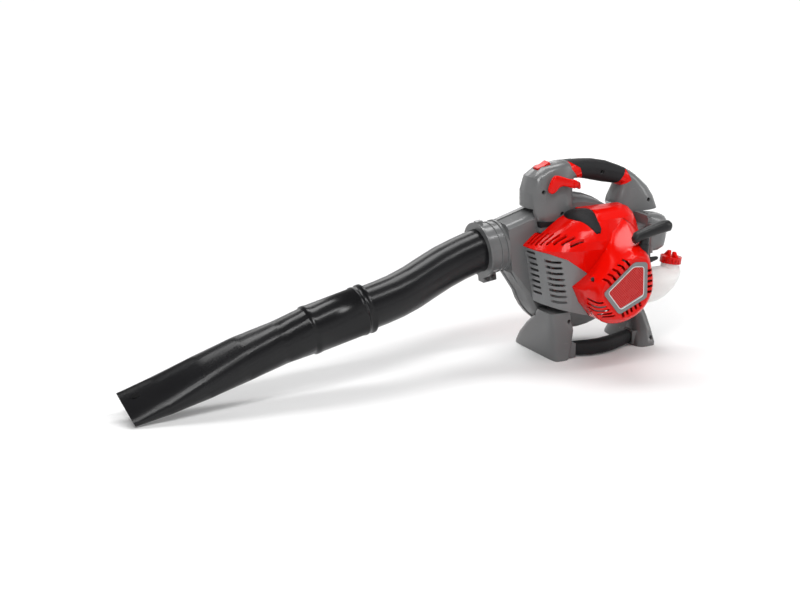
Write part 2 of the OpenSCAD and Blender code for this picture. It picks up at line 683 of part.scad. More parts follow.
// Plan sections of the shroud: height above the crank axis, front and rear ahead of and behind it, depth
shroud_form = [[-72, 84, 86, 66], [-50, 88, 94, 76], [-20, 94, 100, 83], [20, 101, 105, 86],
    [53, 110.5, 107, 86], [66, 95, 106, 81], [82, 72, 103, 71], [96, 51, 98, 60], [104, 34, 92, 46],
    [108, 14, 82, 30]];
shroud_top = 108;

// Half of a rounded plan outline at one height, drawn in by d, its straight side on the housing's wall
function shroud_ring(f, d, drop = 0, k = 22) = let (a = (f[1] + f[2]) / 2 - d,
    c = crank_x + (f[2] - f[1]) / 2)
    [for (i = [0:k]) let (t = 360 - 180 * i / k)
        [c + a * spow(cos(t), 2 / 2.5),
            near_y + (d > 0 ? 1 : 0) - (f[3] - d + (d > 0 ? 1 : 0)) * abs(spow(sin(t), 2 / 2.5)),
            crank_z + f[0] - drop]];

// Depth of the shroud, from the housing's wall to its surface, at a place in the XZ plane
function shroud_depth(q) = let (z = q[1] - crank_z,
    i = max([0, for (j = [0:len(shroud_form) - 2]) if (shroud_form[j][0] <= z) j]),
    f = shroud_form[i], g = shroud_form[i + 1], r = f + (g - f) * (z - f[0]) / (g[0] - f[0]),
    k = min(1, 2 * abs(q[0] - crank_x - (r[2] - r[1]) / 2) / (r[1] + r[2])))
    r[3] * pow(1 - pow(k, 2.5), 1 / 2.5);

module shroud_shell() difference() {
    loft([for (f = shroud_form) shroud_ring(f, 0)]);
    loft(concat([shroud_ring(shroud_form[0], shroud_wall, 1)],
        [for (f = shroud_form) shroud_ring(f, shroud_wall, f[0] / shroud_top * shroud_wall)]));
}

// Edges in the XZ plane, from the crank axis: the guard's upper rim, its point and notch, its lower rim
guard_rim = [[-125, 54], [-94, 48], [-67, 38], [-33, 13]];
guard_point = [-33, 13];
guard_notch = [-57, -9];
guard_heel = [-43, -38];
guard_foot = [-18, -67];

function from_crank(v) = [for (p = v) [crank_x + p[0], crank_z + p[1]]];

module guard_region() polygon(from_crank(concat(guard_rim, [guard_notch, guard_heel, guard_foot,
    [-90, -47], [-125, -40]])));

guard_slot_z0 = 47;
guard_pitch = 10.4;
module guard_slots() for (i = [0:guard_rows - 1]) {
    z = crank_z + guard_slot_z0 - i * guard_pitch;
    x = crank_x - 96 + i * 2.2;
    translate([crank_x - 130, 0, 0]) rotate([90, 0, 90])
        linear_extrude(70) polygon(slot_outline([near_y - 28, z - 2.6], [near_y - 8, z - 3], slot_w));
    slot_y([x, z - 12.2], [x + 9, z - 14], slot_w, near_y - 118, near_y - 45);
    slot_y([x + 9, z - 14], [x + 19, z - 13.4], slot_w, near_y - 118, near_y - 45);
}

module muffler_guard() color(light_grey)
    difference() {
        intersection() {
            shroud_shell();
            along_y(-130, near_y) guard_region();
        }
        guard_slots();
    }

// Outline of the starter housing's foot on the shroud's side, from the crank axis
crease_top = [20, 76];
shoulder = [[79, 45], [70, 84], [52, 95]];
starter_foot = concat([guard_point, guard_notch, guard_heel, guard_foot, [8, -74], [46, -64], [70, -34],
    [77, 0]], shoulder, [crease_top]);

// Directions in which the housing's sections have a point, with the foot's radius there: each corner
// of the foot, and steps of about 10 degrees between
foot_spokes = [for (i = [0:len(starter_foot) - 1])
    let (p = starter_foot[i], q = starter_foot[(i + 1) % len(starter_foot)], e = q - p,
        t0 = atan2(p[1], p[0]), turn = (atan2(q[1], q[0]) - t0 + 720) % 360, m = max(1, round(turn / 10)))
    for (j = [0:m - 1]) let (t = t0 + turn * j / m) [t, cross(p, e) / cross([cos(t), sin(t)], e)]];

// Radius of the drum in direction t where it is r all round: at most drum_front at the front, flat
// on the side of the crease, with a bump at the rope
rope_bump = 9;
rope_angle = 50;
drum_front = 53;
flat_dist = 38.3;
flat_angle = 128;
function bump(t, middle, width) = let (d = (t - middle + 540) % 360 - 180) exp(-pow(d / width, 2));
function drum_radius(r, t) = let (c = max(0.4, cos(t - flat_angle)), k = 12,
    front = min(r, starter_r - (starter_r - drum_front) * bump(t, 180, 34)),
    flat = flat_dist / c)
    pow(pow(front, -k) + pow(flat, -k), -1 / k) + rope_bump * bump(t, rope_angle, 20);

// A section of the starter housing: Y, share of the round drum, radius of the drum. The foot follows
// the shroud's surface, a little below it
foot_sink = 1.5;
function starter_ring(y, share, r, d = 0) = [for (s = foot_spokes)
    let (q = polar(s[1] * (1 - share) + drum_radius(r, s[0]) * share - d - seam, s[0]),
        lean = near_y - shroud_depth(polar(s[1], s[0])) + foot_sink - foot_y)
    [q[0], y + (1 - share) * lean, q[1]]];

foot_y = near_y - 75;
starter_form = [[foot_y, 0, 1], [foot_y - 9, 0.04, 1], [foot_y - 20, 0.26, 1], [foot_y - 34, 0.62, 1],
    [starter_face_y + 28, 0.94, 1], [starter_face_y + 19, 1, 0.95], [starter_face_y + 10, 1, 0.87],
    [starter_face_y + 4, 1, 0.81], [starter_face_y, 1, 0.73]];

// n slots across the badge's edge from corner a to corner b, reaching d outside it
module edge_vents(a, b, n, d) {
    along = (b - a) / norm(b - a);
    out = [-along[1], along[0]];
    for (i = [0:n - 1]) {
        p = [crank_x, crank_z] + a + (b - a) * (i + 1.9) / (n + 1.9);
        slot_y(p, p + out * d, slot_w, starter_face_y - 5, starter_face_y + 16);
    }
}

// Slots on the front flank below: half lengths from the top one down
flank_slots = [5, 7, 8.5, 8.5, 7.5];
module starter_vents() {
    c = badge_corners;
    edge_vents(c[3], c[4], 5, 8.3);
    edge_vents(c[0], c[1], 5, 10);
    edge_vents(c[1], c[2], 5, 7);
    for (i = [0:len(flank_slots) - 1]) {
        m = polar(55, 201 + 8.8 * i);
        half = flank_slots[i] * [cos(12), sin(12)];
        slot_y(m - half, m + half, slot_w * 0.8, starter_face_y - 5, starter_face_y + 40);
    }
}

// Screw on the housing's front flank, sunk into a boss square to the flank
starter_screw = [crank_x - 41.5, starter_face_y + 41, crank_z + 11];
module at_flank() translate(starter_screw) rotate([0, 0, -40]) children();

module starter_housing() color(red)
    difference() {
        union() {
            difference() {
                loft([for (f = reversed(starter_form)) starter_ring(f[0], f[1], starter_r * f[2])]);
                loft([for (f = reversed(starter_form))
                    starter_ring(f[0] + (f[0] == starter_face_y ? shroud_wall : f[0] == foot_y ? 8 : 0), f[1],
                        starter_r * f[2], shroud_wall)]);
            }
            at_flank() axle(0, 0, 1, 14, 5.5);
            about_crank() polygon([[case_r, starter_face_y + 1], [case_r + 2, starter_face_y + 1],
                [case_r + 2, pulley_y - 8], [case_r, pulley_y - 8]]);
        }
        starter_vents();
        at_flank() {
            axle(0, 0, -12, 3, 2 * screw_r + 0.4);
            axle(0, 0, 2, 15, screw_r + fit);
        }
        along_rope() translate([0, 0, -14]) cylinder(h = 34, r = guide_r);
    }

// The rope leaves the housing here, leaning back by rope_lean
rope_x = crank_x + 45.5;
rope_y = starter_face_y + 23;
rope_z = crank_z + 47;
rope_lean = 6;
guide_r = 9.4;
module along_rope() translate([rope_x, rope_y, rope_z]) rotate([0, rope_lean, 0]) children();

// Cover over the cylinder: the rest of the shroud above the guard and in front of the starter
module cover_region() polygon(from_crank(concat([for (p = guard_rim) p + [0, seam]],
    [crease_top], reversed(shoulder), [[shoulder[0][0], 24], [125, 24], [125, 130], [-125, 130]])));

module cover_slots_cut() for (i = [0:cover_slots - 1]) {
    y = near_y - 8 - i * 9;
    x = crank_x - 104 + i * i * 0.9;
    translate([0, 0, crank_z + 40]) linear_extrude(60)
        polygon(slot_outline([x, y], [x + 22, y - 1 - i * 0.3], slot_w));
}

module engine_cover() color(red)
    difference() {
        intersection() {
            shroud_shell();
            along_y(-130, near_y) cover_region();
        }
        cover_slots_cut();
        cap_body(seam);
        for (x = [post_x - 46, mount_rear_x - 40])
            translate([x, near_y - 14, front_seat_z - 10]) cube([90, 20, 60]);
        translate([crank_x + 80, filter_y - 20 - seam, filter_z - 21 - seam])
            cube([60, 40 + 2 * seam, 42 + 2 * seam]);
    }

// An outline with its corners rounded over a length r on both sides
function rounded(v, r) = [for (i = [0:len(v) - 1]) let (p = v[i], a = v[(i + len(v) - 1) % len(v)] - p,
    b = v[(i + 1) % len(v)] - p) for (u = [0:0.25:1])
    p + r * (pow(1 - u, 2) * a / norm(a) + pow(u, 2) * b / norm(b))];

// Badge on the starter's face: a raised frame round a bare plate, its corners from the crank axis
badge_corners = [[40, 43], [42, -21], [-16, -45], [-50, -3], [13, 46]];
badge_middle = [-1, 3];
function badge_outline(f) =
    from_crank(rounded([for (p = badge_corners) badge_middle + (p - badge_middle) * f], 6));
module starter_badge() {
    y1 = starter_face_y;
    color(light_grey) along_y(y1 - 2.5, y1) difference() {
        polygon(badge_outline(0.96));
        polygon(badge_outline(0.8));
    }
    color(red) along_y(y1 - 1.2, y1) polygon(badge_outline(0.8));
}

// ---- Recoil starter ----

pulley_y = starter_face_y + 39;
starter_pin_r = 5;
pulley_flange_r = pulley_groove_r + rope_d + 1;

module pulley_screw() color(steel) {
    axle(crank_x, crank_z, starter_face_y + shroud_wall, pulley_y + 12, starter_pin_r);
    axle(crank_x, crank_z, pulley_y + 10.5, pulley_y + 13, 9);
}

// Rope pulley with its groove, spring hub and two drive pawls towards the flywheel's cup
module recoil_pulley() color(black) {
    g = pulley_groove_r;
    f = pulley_flange_r;
    about_crank() polygon([[starter_pin_r + fit, pulley_y - 21], [hub_r, pulley_y - 21], [hub_r,
        pulley_y - 7],
        [f, pulley_y - 7], [f, pulley_y - 5.5], [g, pulley_y - 4], [g, pulley_y + 4], [f, pulley_y + 5.5],
        [f, pulley_y + 7], [22, pulley_y + 7], [22, pulley_y + 10], [starter_pin_r + fit, pulley_y + 10]]);
    for (a = [0, 180])
        translate([crank_x, pulley_y + 9, crank_z]) rotate([0, a, 0]) translate([11, 0, -3]) cube([6, 17, 6]);
}

// Flat coiled spring round the pulley's hub
spring_turns = 5;
hub_r = 12;
case_r = 29;
module recoil_spring() color(steel)
    along_y(pulley_y - 20, pulley_y - 9) polygon([for (side = [0, 1], i = [0:spring_turns * 16])
        let (j = side == 0 ? i : spring_turns * 16 - i,
            r = hub_r + 0.7 + (case_r - 0.8 - hub_r - 0.7) * j / (spring_turns * 16) + side * 0.8)
        polar(r, 22.5 * j)]);

// The rope's way from the pulley's groove through the guide into the grip
guide_top = 19;
rope_end = guide_top + 6;
function on_rope(d) = [rope_x + d * sin(rope_lean), rope_y, rope_z + d * cos(rope_lean)];
rope_start = [crank_x + pulley_groove_r + rope_d / 2 + 0.5, pulley_y, crank_z + 3];
rope_route = [rope_start, rope_start + (on_rope(-6) - rope_start) * 0.6, on_rope(-6), on_rope(0),
    on_rope(rope_end)];
module starter_rope() color("white")
    loft([for (p = rope_route) ring(p, -rope_lean, rope_d / 2, rope_d / 2, 2, 8)]);

module rope_guide() color(black)
    along_rope() difference() {
        cylinder(h = guide_top, r = guide_r);
        translate([0, 0, -1]) cylinder(h = guide_top + 2, r = rope_d / 2 + 0.4);
        translate([0, 0, guide_top - 3]) cylinder(h = 4, r1 = rope_d / 2 + 0.4, r2 = rope_d / 2 + 3);
    }

// Pull grip: a bar that rises to the rear and ends in a thick knob, on a stem over the rope
grip_form = [[-20, 33, 112, 4.5, 4.5], [-13, 33.5, 110, 7.5, 7], [0, 36, 106, 9.8, 8.6], [20, 41, 104,
    10.8, 9.2],
    [40, 44.8, 98, 11, 9.8], [50, 45.5, 92, 10.5, 9.4], [54, 45.3, 90, 7, 6.2]];
module starter_grip() color(black)
    difference() {
        union() {
            loft([for (g = reversed(grip_form))
                ring([rope_x + g[0], rope_y, rope_z + g[1]], g[2], g[3], g[4], 2.5, 20)]);
            along_rope() translate([0, 0, guide_top + 0.5]) cylinder(h = 14, r1 = 8.6, r2 = 8);
        }
        along_rope() translate([0, 0, guide_top]) cylinder(h = 6.2, r = rope_d / 2 + 0.05);
    }

// ---- Rotating parts ----

module flywheel() color(alloy)
    difference() {
        union() {
            y = flywheel_y0;
            about_crank() polygon([[journal_r + 0.02, y - 20], [20, y - 20], [20, y - 4], [24, y + 2],
                [24, y + 8],
                [40, y + 8], [40, y + 4], [flywheel_r, y + 4], [flywheel_r, y + 17], [40, y + 17], [40,
                    y + 12],
                [16, y + 12], [16, y + 19.5], [journal_r + 0.02, y + 19.5]]);
            for (a = [0:30:330])
                translate([crank_x, y, crank_z]) rotate([0, a, 0]) translate([22, 0, -1]) cube([24, 8, 2]);
        }
        axle(crank_x, crank_z, flywheel_y0 - 21, flywheel_y0 - 8, 18.5);
    }

throw = 14;
module crankshaft() color(steel) {
    axle(crank_x, crank_z, flywheel_y0 - 22, crankcase_end + 22, journal_r);
    axle(crank_x, crank_z, near_y - 22, near_y + 48, journal_r);
    axle(crank_x, crank_z, crankcase_end + 14, crankcase_end + 22, 26);
    axle(crank_x, crank_z, near_y - 22, near_y - 14, 26);
    axle(crank_x, crank_z + throw, crankcase_end + 20, near_y - 20, 6);
}

fan_y = near_y + housing_wall + 6;
// Blade outline: an arc that leans back by `sweep` from its root to its tip
blade_root = 36;
blade_sweep = 40;
function blade_edge(side) = [for (i = [0:8])
    let (j = side > 0 ? i : 8 - i, r = blade_root + (fan_r - blade_root) * j / 8,
        t = blade_sweep * pow(j / 8, 1.2) + side * blade_t / 2 / r * 57.3)
    polar(r, t)];

module fan_impeller() color(grey)
    difference() {
        union() {
            about_crank() polygon([[0, fan_y], [fan_r, fan_y], [fan_r, fan_y + 2.5], [40, fan_y + 3],
                [22, fan_y + 14], [15, fan_y + 26], [0, fan_y + 26]]);
            for (k = [0:blade_count - 1])
                translate([crank_x, 0, crank_z]) rotate([0, 360 * k / blade_count, 0])
                    translate([-crank_x, 0, -crank_z]) along_y(fan_y + 1, fan_y + 1 + blade_w)
                        polygon(concat(blade_edge(1), blade_edge(-1)));
        }
        axle(crank_x, crank_z, fan_y - 1, fan_y + 30, journal_r + 0.02);
    }

module fan_nut() color(steel)
    difference() {
        axle(crank_x, crank_z, fan_y + 26, fan_y + 33, 11, $fn = 6);
        axle(crank_x, crank_z, fan_y + 25, fan_y + 34, journal_r + 0.02);
    }

// ---- Carburettor and air filter ----

inlet_z = case_top + 18;
inlet_x = crank_x + 32;
carb_x = inlet_x + 12;
carb_end = carb_x + 34;
filter_x = crank_x + 108;
filter_y = cylinder_y;
filter_z = crank_z + 53;
throttle_x = carb_x + 20;
arm_angle = 35;
choke_z = filter_z - 40;
choke_len = 18;

module inlet_bore(x0, x1, r) translate([x0, cylinder_y, inlet_z]) rotate([0, 90, 0])
    cylinder(h = x1 - x0, r = r);

module intake_insulator() color(black)
    difference() {
        translate([inlet_x, cylinder_y - 14, inlet_z - 13]) cube([12, 28, 26]);
        inlet_bore(inlet_x - 1, carb_x + 1, 7);
    }

module carburettor() color(alloy)
    difference() {
        union() {
            translate([carb_x, cylinder_y - 16, inlet_z - 13]) cube([34, 32, 26]);
            translate([carb_x + 4, cylinder_y - 14, inlet_z - 17]) cube([26, 28, 5]);
            translate([carb_x + 10, cylinder_y - 10, inlet_z + 12]) cube([20, 20, 4]);
            translate([carb_x + 5, cylinder_y + 12, inlet_z + 11]) cube([3, 10, 16]);
            translate([carb_x + 5, cylinder_y + 12, inlet_z + 11]) cube([8, 3.8, 4]);
        }
        inlet_bore(carb_x - 1, carb_end + 1, 8);
        translate([throttle_x, cylinder_y, inlet_z - 11]) cylinder(h = 60, r = pin_r + fit);
    }

// Throttle shaft with its disc in the carburettor's bore and its arm on top
module throttle_arm() color(steel) {
    translate([throttle_x, cylinder_y, inlet_z - 10.5]) cylinder(h = 31, r = pin_r);
    translate([throttle_x - 0.6, cylinder_y, inlet_z]) rotate([0, 90, 0]) cylinder(h = 1.2, r = 7.5);
    translate([0, 0, inlet_z + 16.6]) linear_extrude(2.4) difference() {
        at = [throttle_x, cylinder_y];
        tip = at + 18 * [cos(arm_angle), sin(arm_angle)];
        polygon(bar_outline(at, tip, 5, 3.5));
        translate(tip) circle(1.2);
    }
}

module air_filter_base() color(black)
    difference() {
        union() {
            translate([carb_end, filter_y - 20, filter_z - 21]) cube([filter_x - carb_end, 40, 42]);
            translate([filter_x, filter_y - 27, filter_z - 56]) cube([8, 50, 91]);
            translate([filter_x, filter_y - 24, filter_z]) cube([8, 40, 38.5]);
            for (z = [14, -26])
                translate([filter_x + 4, filter_y - 32, filter_z + z]) cylinder(h = 12, r = 4);
            for (z = [14, -26])
                translate([filter_x + 0.5, filter_y - 32, filter_z + z]) cube([7, 6, 12]);
            translate([filter_x + 4, filter_y - 32, filter_z - 20]) cylinder(h = 40, r = 2);
        }
        translate([carb_end + 4, filter_y - 17, filter_z - 18]) cube([filter_x - carb_end + 5, 34, 36]);
        inlet_bore(carb_end - 1, carb_end + 5, 8);
        translate([filter_x - 1, filter_y, filter_z - 46]) rotate([0, 90, 0]) cylinder(h = 10, r = 8.6);
        translate([filter_x + 4, filter_y - 40, choke_z]) rotate([-90, 0, 0]) cylinder(h = 30,
            r = pin_r + fit);
    }

module air_filter_element() color("white")
    translate([filter_x + 8, 0, 0])
        for (i = [0:6])
            translate([0, filter_y - 17 + i * 4.6, filter_z - 18]) cube([14, i == 6 ? 3.4 : 4.6, 36]);

filter_len = 53;
// Cover sections: X from its rim, middle Y shift, half width, middle Z shift, half height
filter_form = [[0, -2, 25, 5, 35], [20, -2, 25, 4, 33], [33, 1, 23, 4, 30], [42, 7, 19, 4.5, 25],
    [49, 10, 14.5, 5, 18], [filter_len, 12, 8, 5.5, 10]];
module air_filter_cover() {
    x0 = filter_x + 8.2;
    function section(f, d, step = 0) = ring([x0 + f[0] - step, filter_y + f[1], filter_z + f[3]], 90,
        f[2] - d,
        f[4] - d, 4, 28);
    color(grey)
        difference() {
            union() {
                lofted_shell([for (f = reversed(filter_form)) section(f, 0)],
                    [for (f = reversed(filter_form)) section(f, 2.4, f[0] == 0 ? 0 : 2.4)]);
                translate([filter_x + 4, filter_y - 32, filter_z - 13.5]) cylinder(h = 27, r = 4);
                translate([filter_x + 4, filter_y - 36, filter_z - 13.5]) cube([6, 9 - seam, 27]);
                translate([x0, filter_y - 33, filter_z - 13.5]) cube([5, 7.5, 27]);
            }
            translate([filter_x + 4, filter_y - 32, filter_z - 20]) cylinder(h = 60, r = 2 + fit);
            translate([x0 + filter_len - 11, filter_y + 12, filter_z + 5.5]) rotate([0, 90, 0])
                cylinder(h = 20, r = 3 + fit);
        }
}

module filter_cover_knob() color(black)
    translate([filter_x + 8.6 + filter_len, filter_y + 12, filter_z + 5.5]) rotate([0, 90, 0]) {
        difference() {
            cylinder(h = 8, r = 9);
            for (a = [0:45:315])
                rotate([0, 0, a]) translate([10.2, 0, -1]) cylinder(h = 12, r = 2.2, $fn = 16);
        }
        translate([0, 0, -12]) cylinder(h = 13, r = 3);
    }

// Choke lever on the filter base's engine side
module choke_lever() color(black) {
    y = filter_y - 27 - seam;
    at = [filter_x + 4, choke_z];
    axle(at[0], at[1], y - 1, y + 8, pin_r);
    along_y(y - 4, y) polygon(bar_outline(at, at + [choke_len - 3, 2], 5, 3));
}

module primer_bulb() color("salmon")
    translate([filter_x + 1, filter_y, filter_z - 46]) rotate([0, 90, 0])
        rotate_extrude() polygon(concat([[0, 0], [8, 0], [8, 9]],
            [for (a = [0:15:90]) [8 * cos(a), 9 + 6 * sin(a)]]));

// ---- Fuel system ----

tank_x = crank_x + 79;
tank_z = crank_z - 69;
tank_y0 = near_y - 5 - tank_depth;
tank_bend = 69;
neck_tilt = 8;
neck_x = tank_x + 92;
neck_y = tank_y0 + tank_depth / 2;
neck_z = tank_z + 66;
neck_r = 16;
hose_r = 2.8;

// Tank outline seen from the engine side, drawn in by d
tank_h = 61;
function tank_outline(d) = let (x = tank_x, z = tank_z, c = [x + 40, z + tank_bend], r = tank_bend - d,
    top = z + tank_h - d, end = asin(max(-0.95, (top - 4 - c[1]) / r))) concat(
    [[x + d, z + 22 + 0.5 * d], [x + 5 + 0.75 * d, z + 8 + 0.75 * d], [x + 18 + 0.3 * d, z + 1 + d]],
    [for (i = [0:6]) let (a = -90 + (end + 90) * i / 6) c + r * [cos(a), sin(a)]],
    [[c[0] + r * cos(end) - 2, top - 0.8], [x + 50, top], [x + 6 + 0.8 * d, top], [x + d, top - 7]]);

function tank_ring(y, d) = [for (p = tank_outline(d)) [p[0], y, p[1]]];

module at_neck() translate([neck_x, neck_y, neck_z]) rotate([0, neck_tilt, 0]) children();

// The tank's rounding: distance in from its near or far side, and how far the outline is drawn in there
tank_edge = [[0, 23], [3, 16], [8, 10.5], [16, 4.5], [27, 0]];
module tank_form(w) loft(concat([for (e = tank_edge) tank_ring(tank_y0 + w + e[0], e[1] + w)],
    [for (e = reversed(tank_edge)) tank_ring(tank_y0 + tank_depth - w - e[0], e[1] + w)]));

module fuel_tank() color([0.93, 0.93, 0.9, 0.8]) difference() {
    union() {
        tank_form(0);
        at_neck() translate([0, 0, -20]) cylinder(h = 28, r = neck_r);
    }
    tank_form(tank_wall);
    at_neck() translate([0, 0, -34]) cylinder(h = 50, r = neck_r - 2.5);
    translate([hose_x, hose_y, tank_z + 50]) cylinder(h = 20, r = hose_r);
}

cap_h = 9;
module cap_gasket() color(black)
    at_neck() difference() {
        translate([0, 0, 8.35]) cylinder(h = 1.6, r = neck_r - 0.5);
        translate([0, 0, 7]) cylinder(h = 5, r = 6);
    }

// Fuel cap with a notched skirt and two finger lugs
module fuel_cap() color(red)
    at_neck() {
        difference() {
            union() {
                cylinder(h = cap_h + 3, r = cap_d / 2);
                for (a = [-90, 90])
                    rotate([0, 0, a]) translate([cap_d / 2 - 11, -6, cap_h + 2]) cube([8, 12, 10]);
            }
            for (a = [0:20:340])
                rotate([0, 0, a]) translate([cap_d / 2 - 0.8, -1, -1]) cube([3, 2, cap_h]);
            translate([0, 0, -1]) cylinder(h = 11, r = neck_r + 0.4);
        }
    }

// Fuel hose from the filter in the tank through the tank's top to the carburettor: x, y and z of its
// middle, and the direction across it
hose_x = tank_x + 12;
hose_y = cylinder_y - 12;
carb_foot = inlet_z - 17;
hose_route = [[hose_x, hose_y, tank_z + 52, 180], [hose_x, hose_y, tank_z + 68, 180],
    [hose_x - 3, hose_y + 1, tank_z + 80, 158], [hose_x - 12, hose_y + 4, tank_z + 92, 138],
    [hose_x - 22, hose_y + 7, carb_foot - 8, 146], [hose_x - 28, hose_y + 8, carb_foot, 180]];
module fuel_hose() color(black)
    loft([for (p = reversed(hose_route)) ring([p[0], p[1], p[2]], p[3], hose_r, hose_r, 2, 10)]);

module fuel_filter() color(steel)
    translate([hose_x, hose_y, tank_z + 28]) {
        cylinder(h = 16, r = 6);
        translate([0, 0, 16]) cylinder(h = 8, r = 2.6);
    }

// Throttle cable: x, y and z of its middle from the post to its stop on the carburettor, and the
// direction across it
cable_r = 2.2;
cable_route = [[34, -27, 250, 90], [42, -27, 250, 90], [54, -27, 248.8, 82], [70, -27.5, 245.6, 76],
    [82, -29, 241.8, 68], [91, -31, 236.8, 60], [98, -33, 231.8, 74], [carb_x + 5, -33, 230.4, 90]];
module throttle_cable() color(black)
    loft([for (p = reversed(cable_route)) ring([p[0], p[1], p[2]], p[3], cable_r, cable_r, 2, 10)]);

// ---- Feet ----

// Flat sections of the front foot: height, middle X, half length, middle Y, half width, roundness
foot_form = [[0, 0, foot_len / 2, 0, foot_w / 2, 6], [5, 1.5, foot_len / 2 + 2, -0.5, foot_w / 2 - 1, 6],
    [24, 4, 22, -6, foot_w / 2 - 8, 5], [52, 1, 24, -25, foot_w / 2 - 22, 5],
    [72, -4, 23, -41, foot_w / 2 - 36, 5], [89, -8, 22, -50, foot_w / 2 - 45, 5]];

module front_foot() color(grey)
    difference() {
        union() {
            loft([for (f = foot_form) flat_ring([f[1], f[3], f[0]], f[2], f[4], f[5])]);
            translate([8, -64, 2]) cube([22, 28, base_grip_d - 1]);
        }
        along_y(near_y, split_y + 60) polygon(scroll_outline(-2 - seam));
        axle(foot_screw[0], foot_screw[1], -90, foot_screw_y, 2 * screw_r + 0.4);
        axle(foot_screw[0], foot_screw[1], foot_screw_y - 1, near_y + 1, screw_r + fit);
    }

rear_screw = [rear_foot_x + 9, 14];
rear_screw_y = near_y - 34;
rear_foot_form = [[0, 0, 22, -8, 60, 4], [4, 0.5, 22.5, -8, 59.5, 4], [26, 1, 20, -10, 48, 3.4],
    [48, 0, 17, -12, 36, 3], [64, 0, 14, -9, 27, 3], [foot_top_z, 1, 12, -4, 20, 3]];
module rear_foot() color(grey)
    difference() {
        union() {
            loft([for (f = rear_foot_form)
                flat_ring([rear_foot_x + f[1], f[3], f[0]], f[2], f[4], f[5])]);
            translate([rear_foot_x - 24, -52, 3]) cube([20, 28, base_grip_d - 2]);
        }
        axle(rear_screw[0], rear_screw[1], -90, rear_screw_y, 2 * screw_r + 0.4);
        axle(rear_screw[0], rear_screw[1], rear_screw_y - 1, rear_screw_y + 26, screw_r + fit);
    }

// Bowed grip between the feet: X, Y and Z of the middle, half width, half height
rail_form = [[30, -51, 14.6, 10.5, 11.5], [40, -55, 14.6, 12, 12.4], [60, -60, 14.6, 12.6, 12.8],
    [82, -61, 14.6, 12.6, 12.8], [105, -57, 14.8, 12.6, 12.8], [130, -48, 15, 12, 12.6],
    [rear_foot_x - 24, -39, 15.4, 10.5, 11.5]];
module base_grip() color(black)
    loft([for (r = reversed(rail_form)) ring([r[0], r[1], r[2]], 90, r[3] * base_grip_d / 26,
        r[4] * base_grip_d / 26, 2.8, 24)]);

// ---- Air intake ----

guard_r = 82;
hinge_x = crank_x + guard_r + 6;
hinge_y = far_y + 6;
hinge_half = 10;
latch_x = crank_x - guard_r - 2;
latch_r = 3;
module intake_guard() color(red)
    difference() {
        union() {
            y = far_y + seam;
            about_crank() polygon([[0, y + 15], [56, y + 13.5], [76, y + 10], [guard_r, y + 5], [guard_r, y],
                [guard_r - 2.5, y], [guard_r - 2.5, y + 4], [75, y + 7.4], [56, y + 11], [0, y + 12.5]]);
            translate([hinge_x, hinge_y, crank_z + 1 - hinge_half]) cylinder(h = 2 * hinge_half - 2, r = 4);
            translate([hinge_x - 10, hinge_y - 3, crank_z + 1 - hinge_half])
                cube([9, 6, 2 * hinge_half - 2]);
            axle(latch_x, crank_z, far_y + seam, far_y + 11, 9);
        }
        for (i = [0:23])
            translate([crank_x, far_y, crank_z]) rotate([0, 15 * i + 7.5, 0]) translate([24, 0, -2.6])
                cube([46, 20, 5.2]);
        translate([hinge_x, hinge_y, crank_z - 20]) cylinder(h = 40, r = 2 + fit);
        axle(latch_x, crank_z, far_y - 1, far_y + 12, latch_r + fit);
    }

module guard_hinge_pin() color(steel)
    translate([hinge_x, hinge_y, crank_z - hinge_half - 7]) cylinder(h = 2 * hinge_half + 14, r = 2);

module guard_latch() color(black)
    difference() {
        union() {
            axle(latch_x, crank_z, far_y + 11.3, far_y + 16, 8);
            axle(latch_x, crank_z, far_y - 6, far_y + 12, latch_r);
        }
        translate([latch_x - 6, far_y + 14, crank_z - 1]) cube([12, 3, 2]);
    }

module housing_screws() color(steel) {
    for (p = handle_holes)
        screw_y(p[0], p[1], p[2], p[3] - p[2]);
    screw_y(foot_screw[0], foot_screw[1], foot_screw_y, near_y + housing_wall - foot_screw_y);
    screw_y(rear_screw[0], rear_screw[1], rear_screw_y, 25);
    at_flank() screw_y(0, 0, 3, 11);
}

fan_housing_inner();
fan_housing_outer();
tube_clamp();
clamp_screws();
blower_tube();
nozzle();
crankcase();
crank_bearings();
engine_cylinder();
spark_plug();
plug_cap();
ignition_coil();
muffler();
muffler_guard();
engine_cover();
starter_housing();
starter_badge();
pulley_screw();
recoil_pulley();
recoil_spring();
starter_rope();
starter_grip();
rope_guide();
flywheel();
crankshaft();
fan_impeller();
fan_nut();
intake_insulator();
carburettor();
throttle_arm();
choke_lever();
primer_bulb();
air_filter_base();
air_filter_element();
air_filter_cover();
filter_cover_knob();
fuel_tank();
fuel_cap();
cap_gasket();
fuel_hose();
fuel_filter();
handle_half_near();
handle_half_far();
handle_grip();
grip_collars();
throttle_trigger();
trigger_pin();
cruise_lever();
stop_switch();
throttle_cable();
front_mount();
rear_mount();
front_foot();
rear_foot();
base_grip();
intake_guard();
guard_hinge_pin();
guard_latch();
housing_screws();
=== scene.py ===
import math

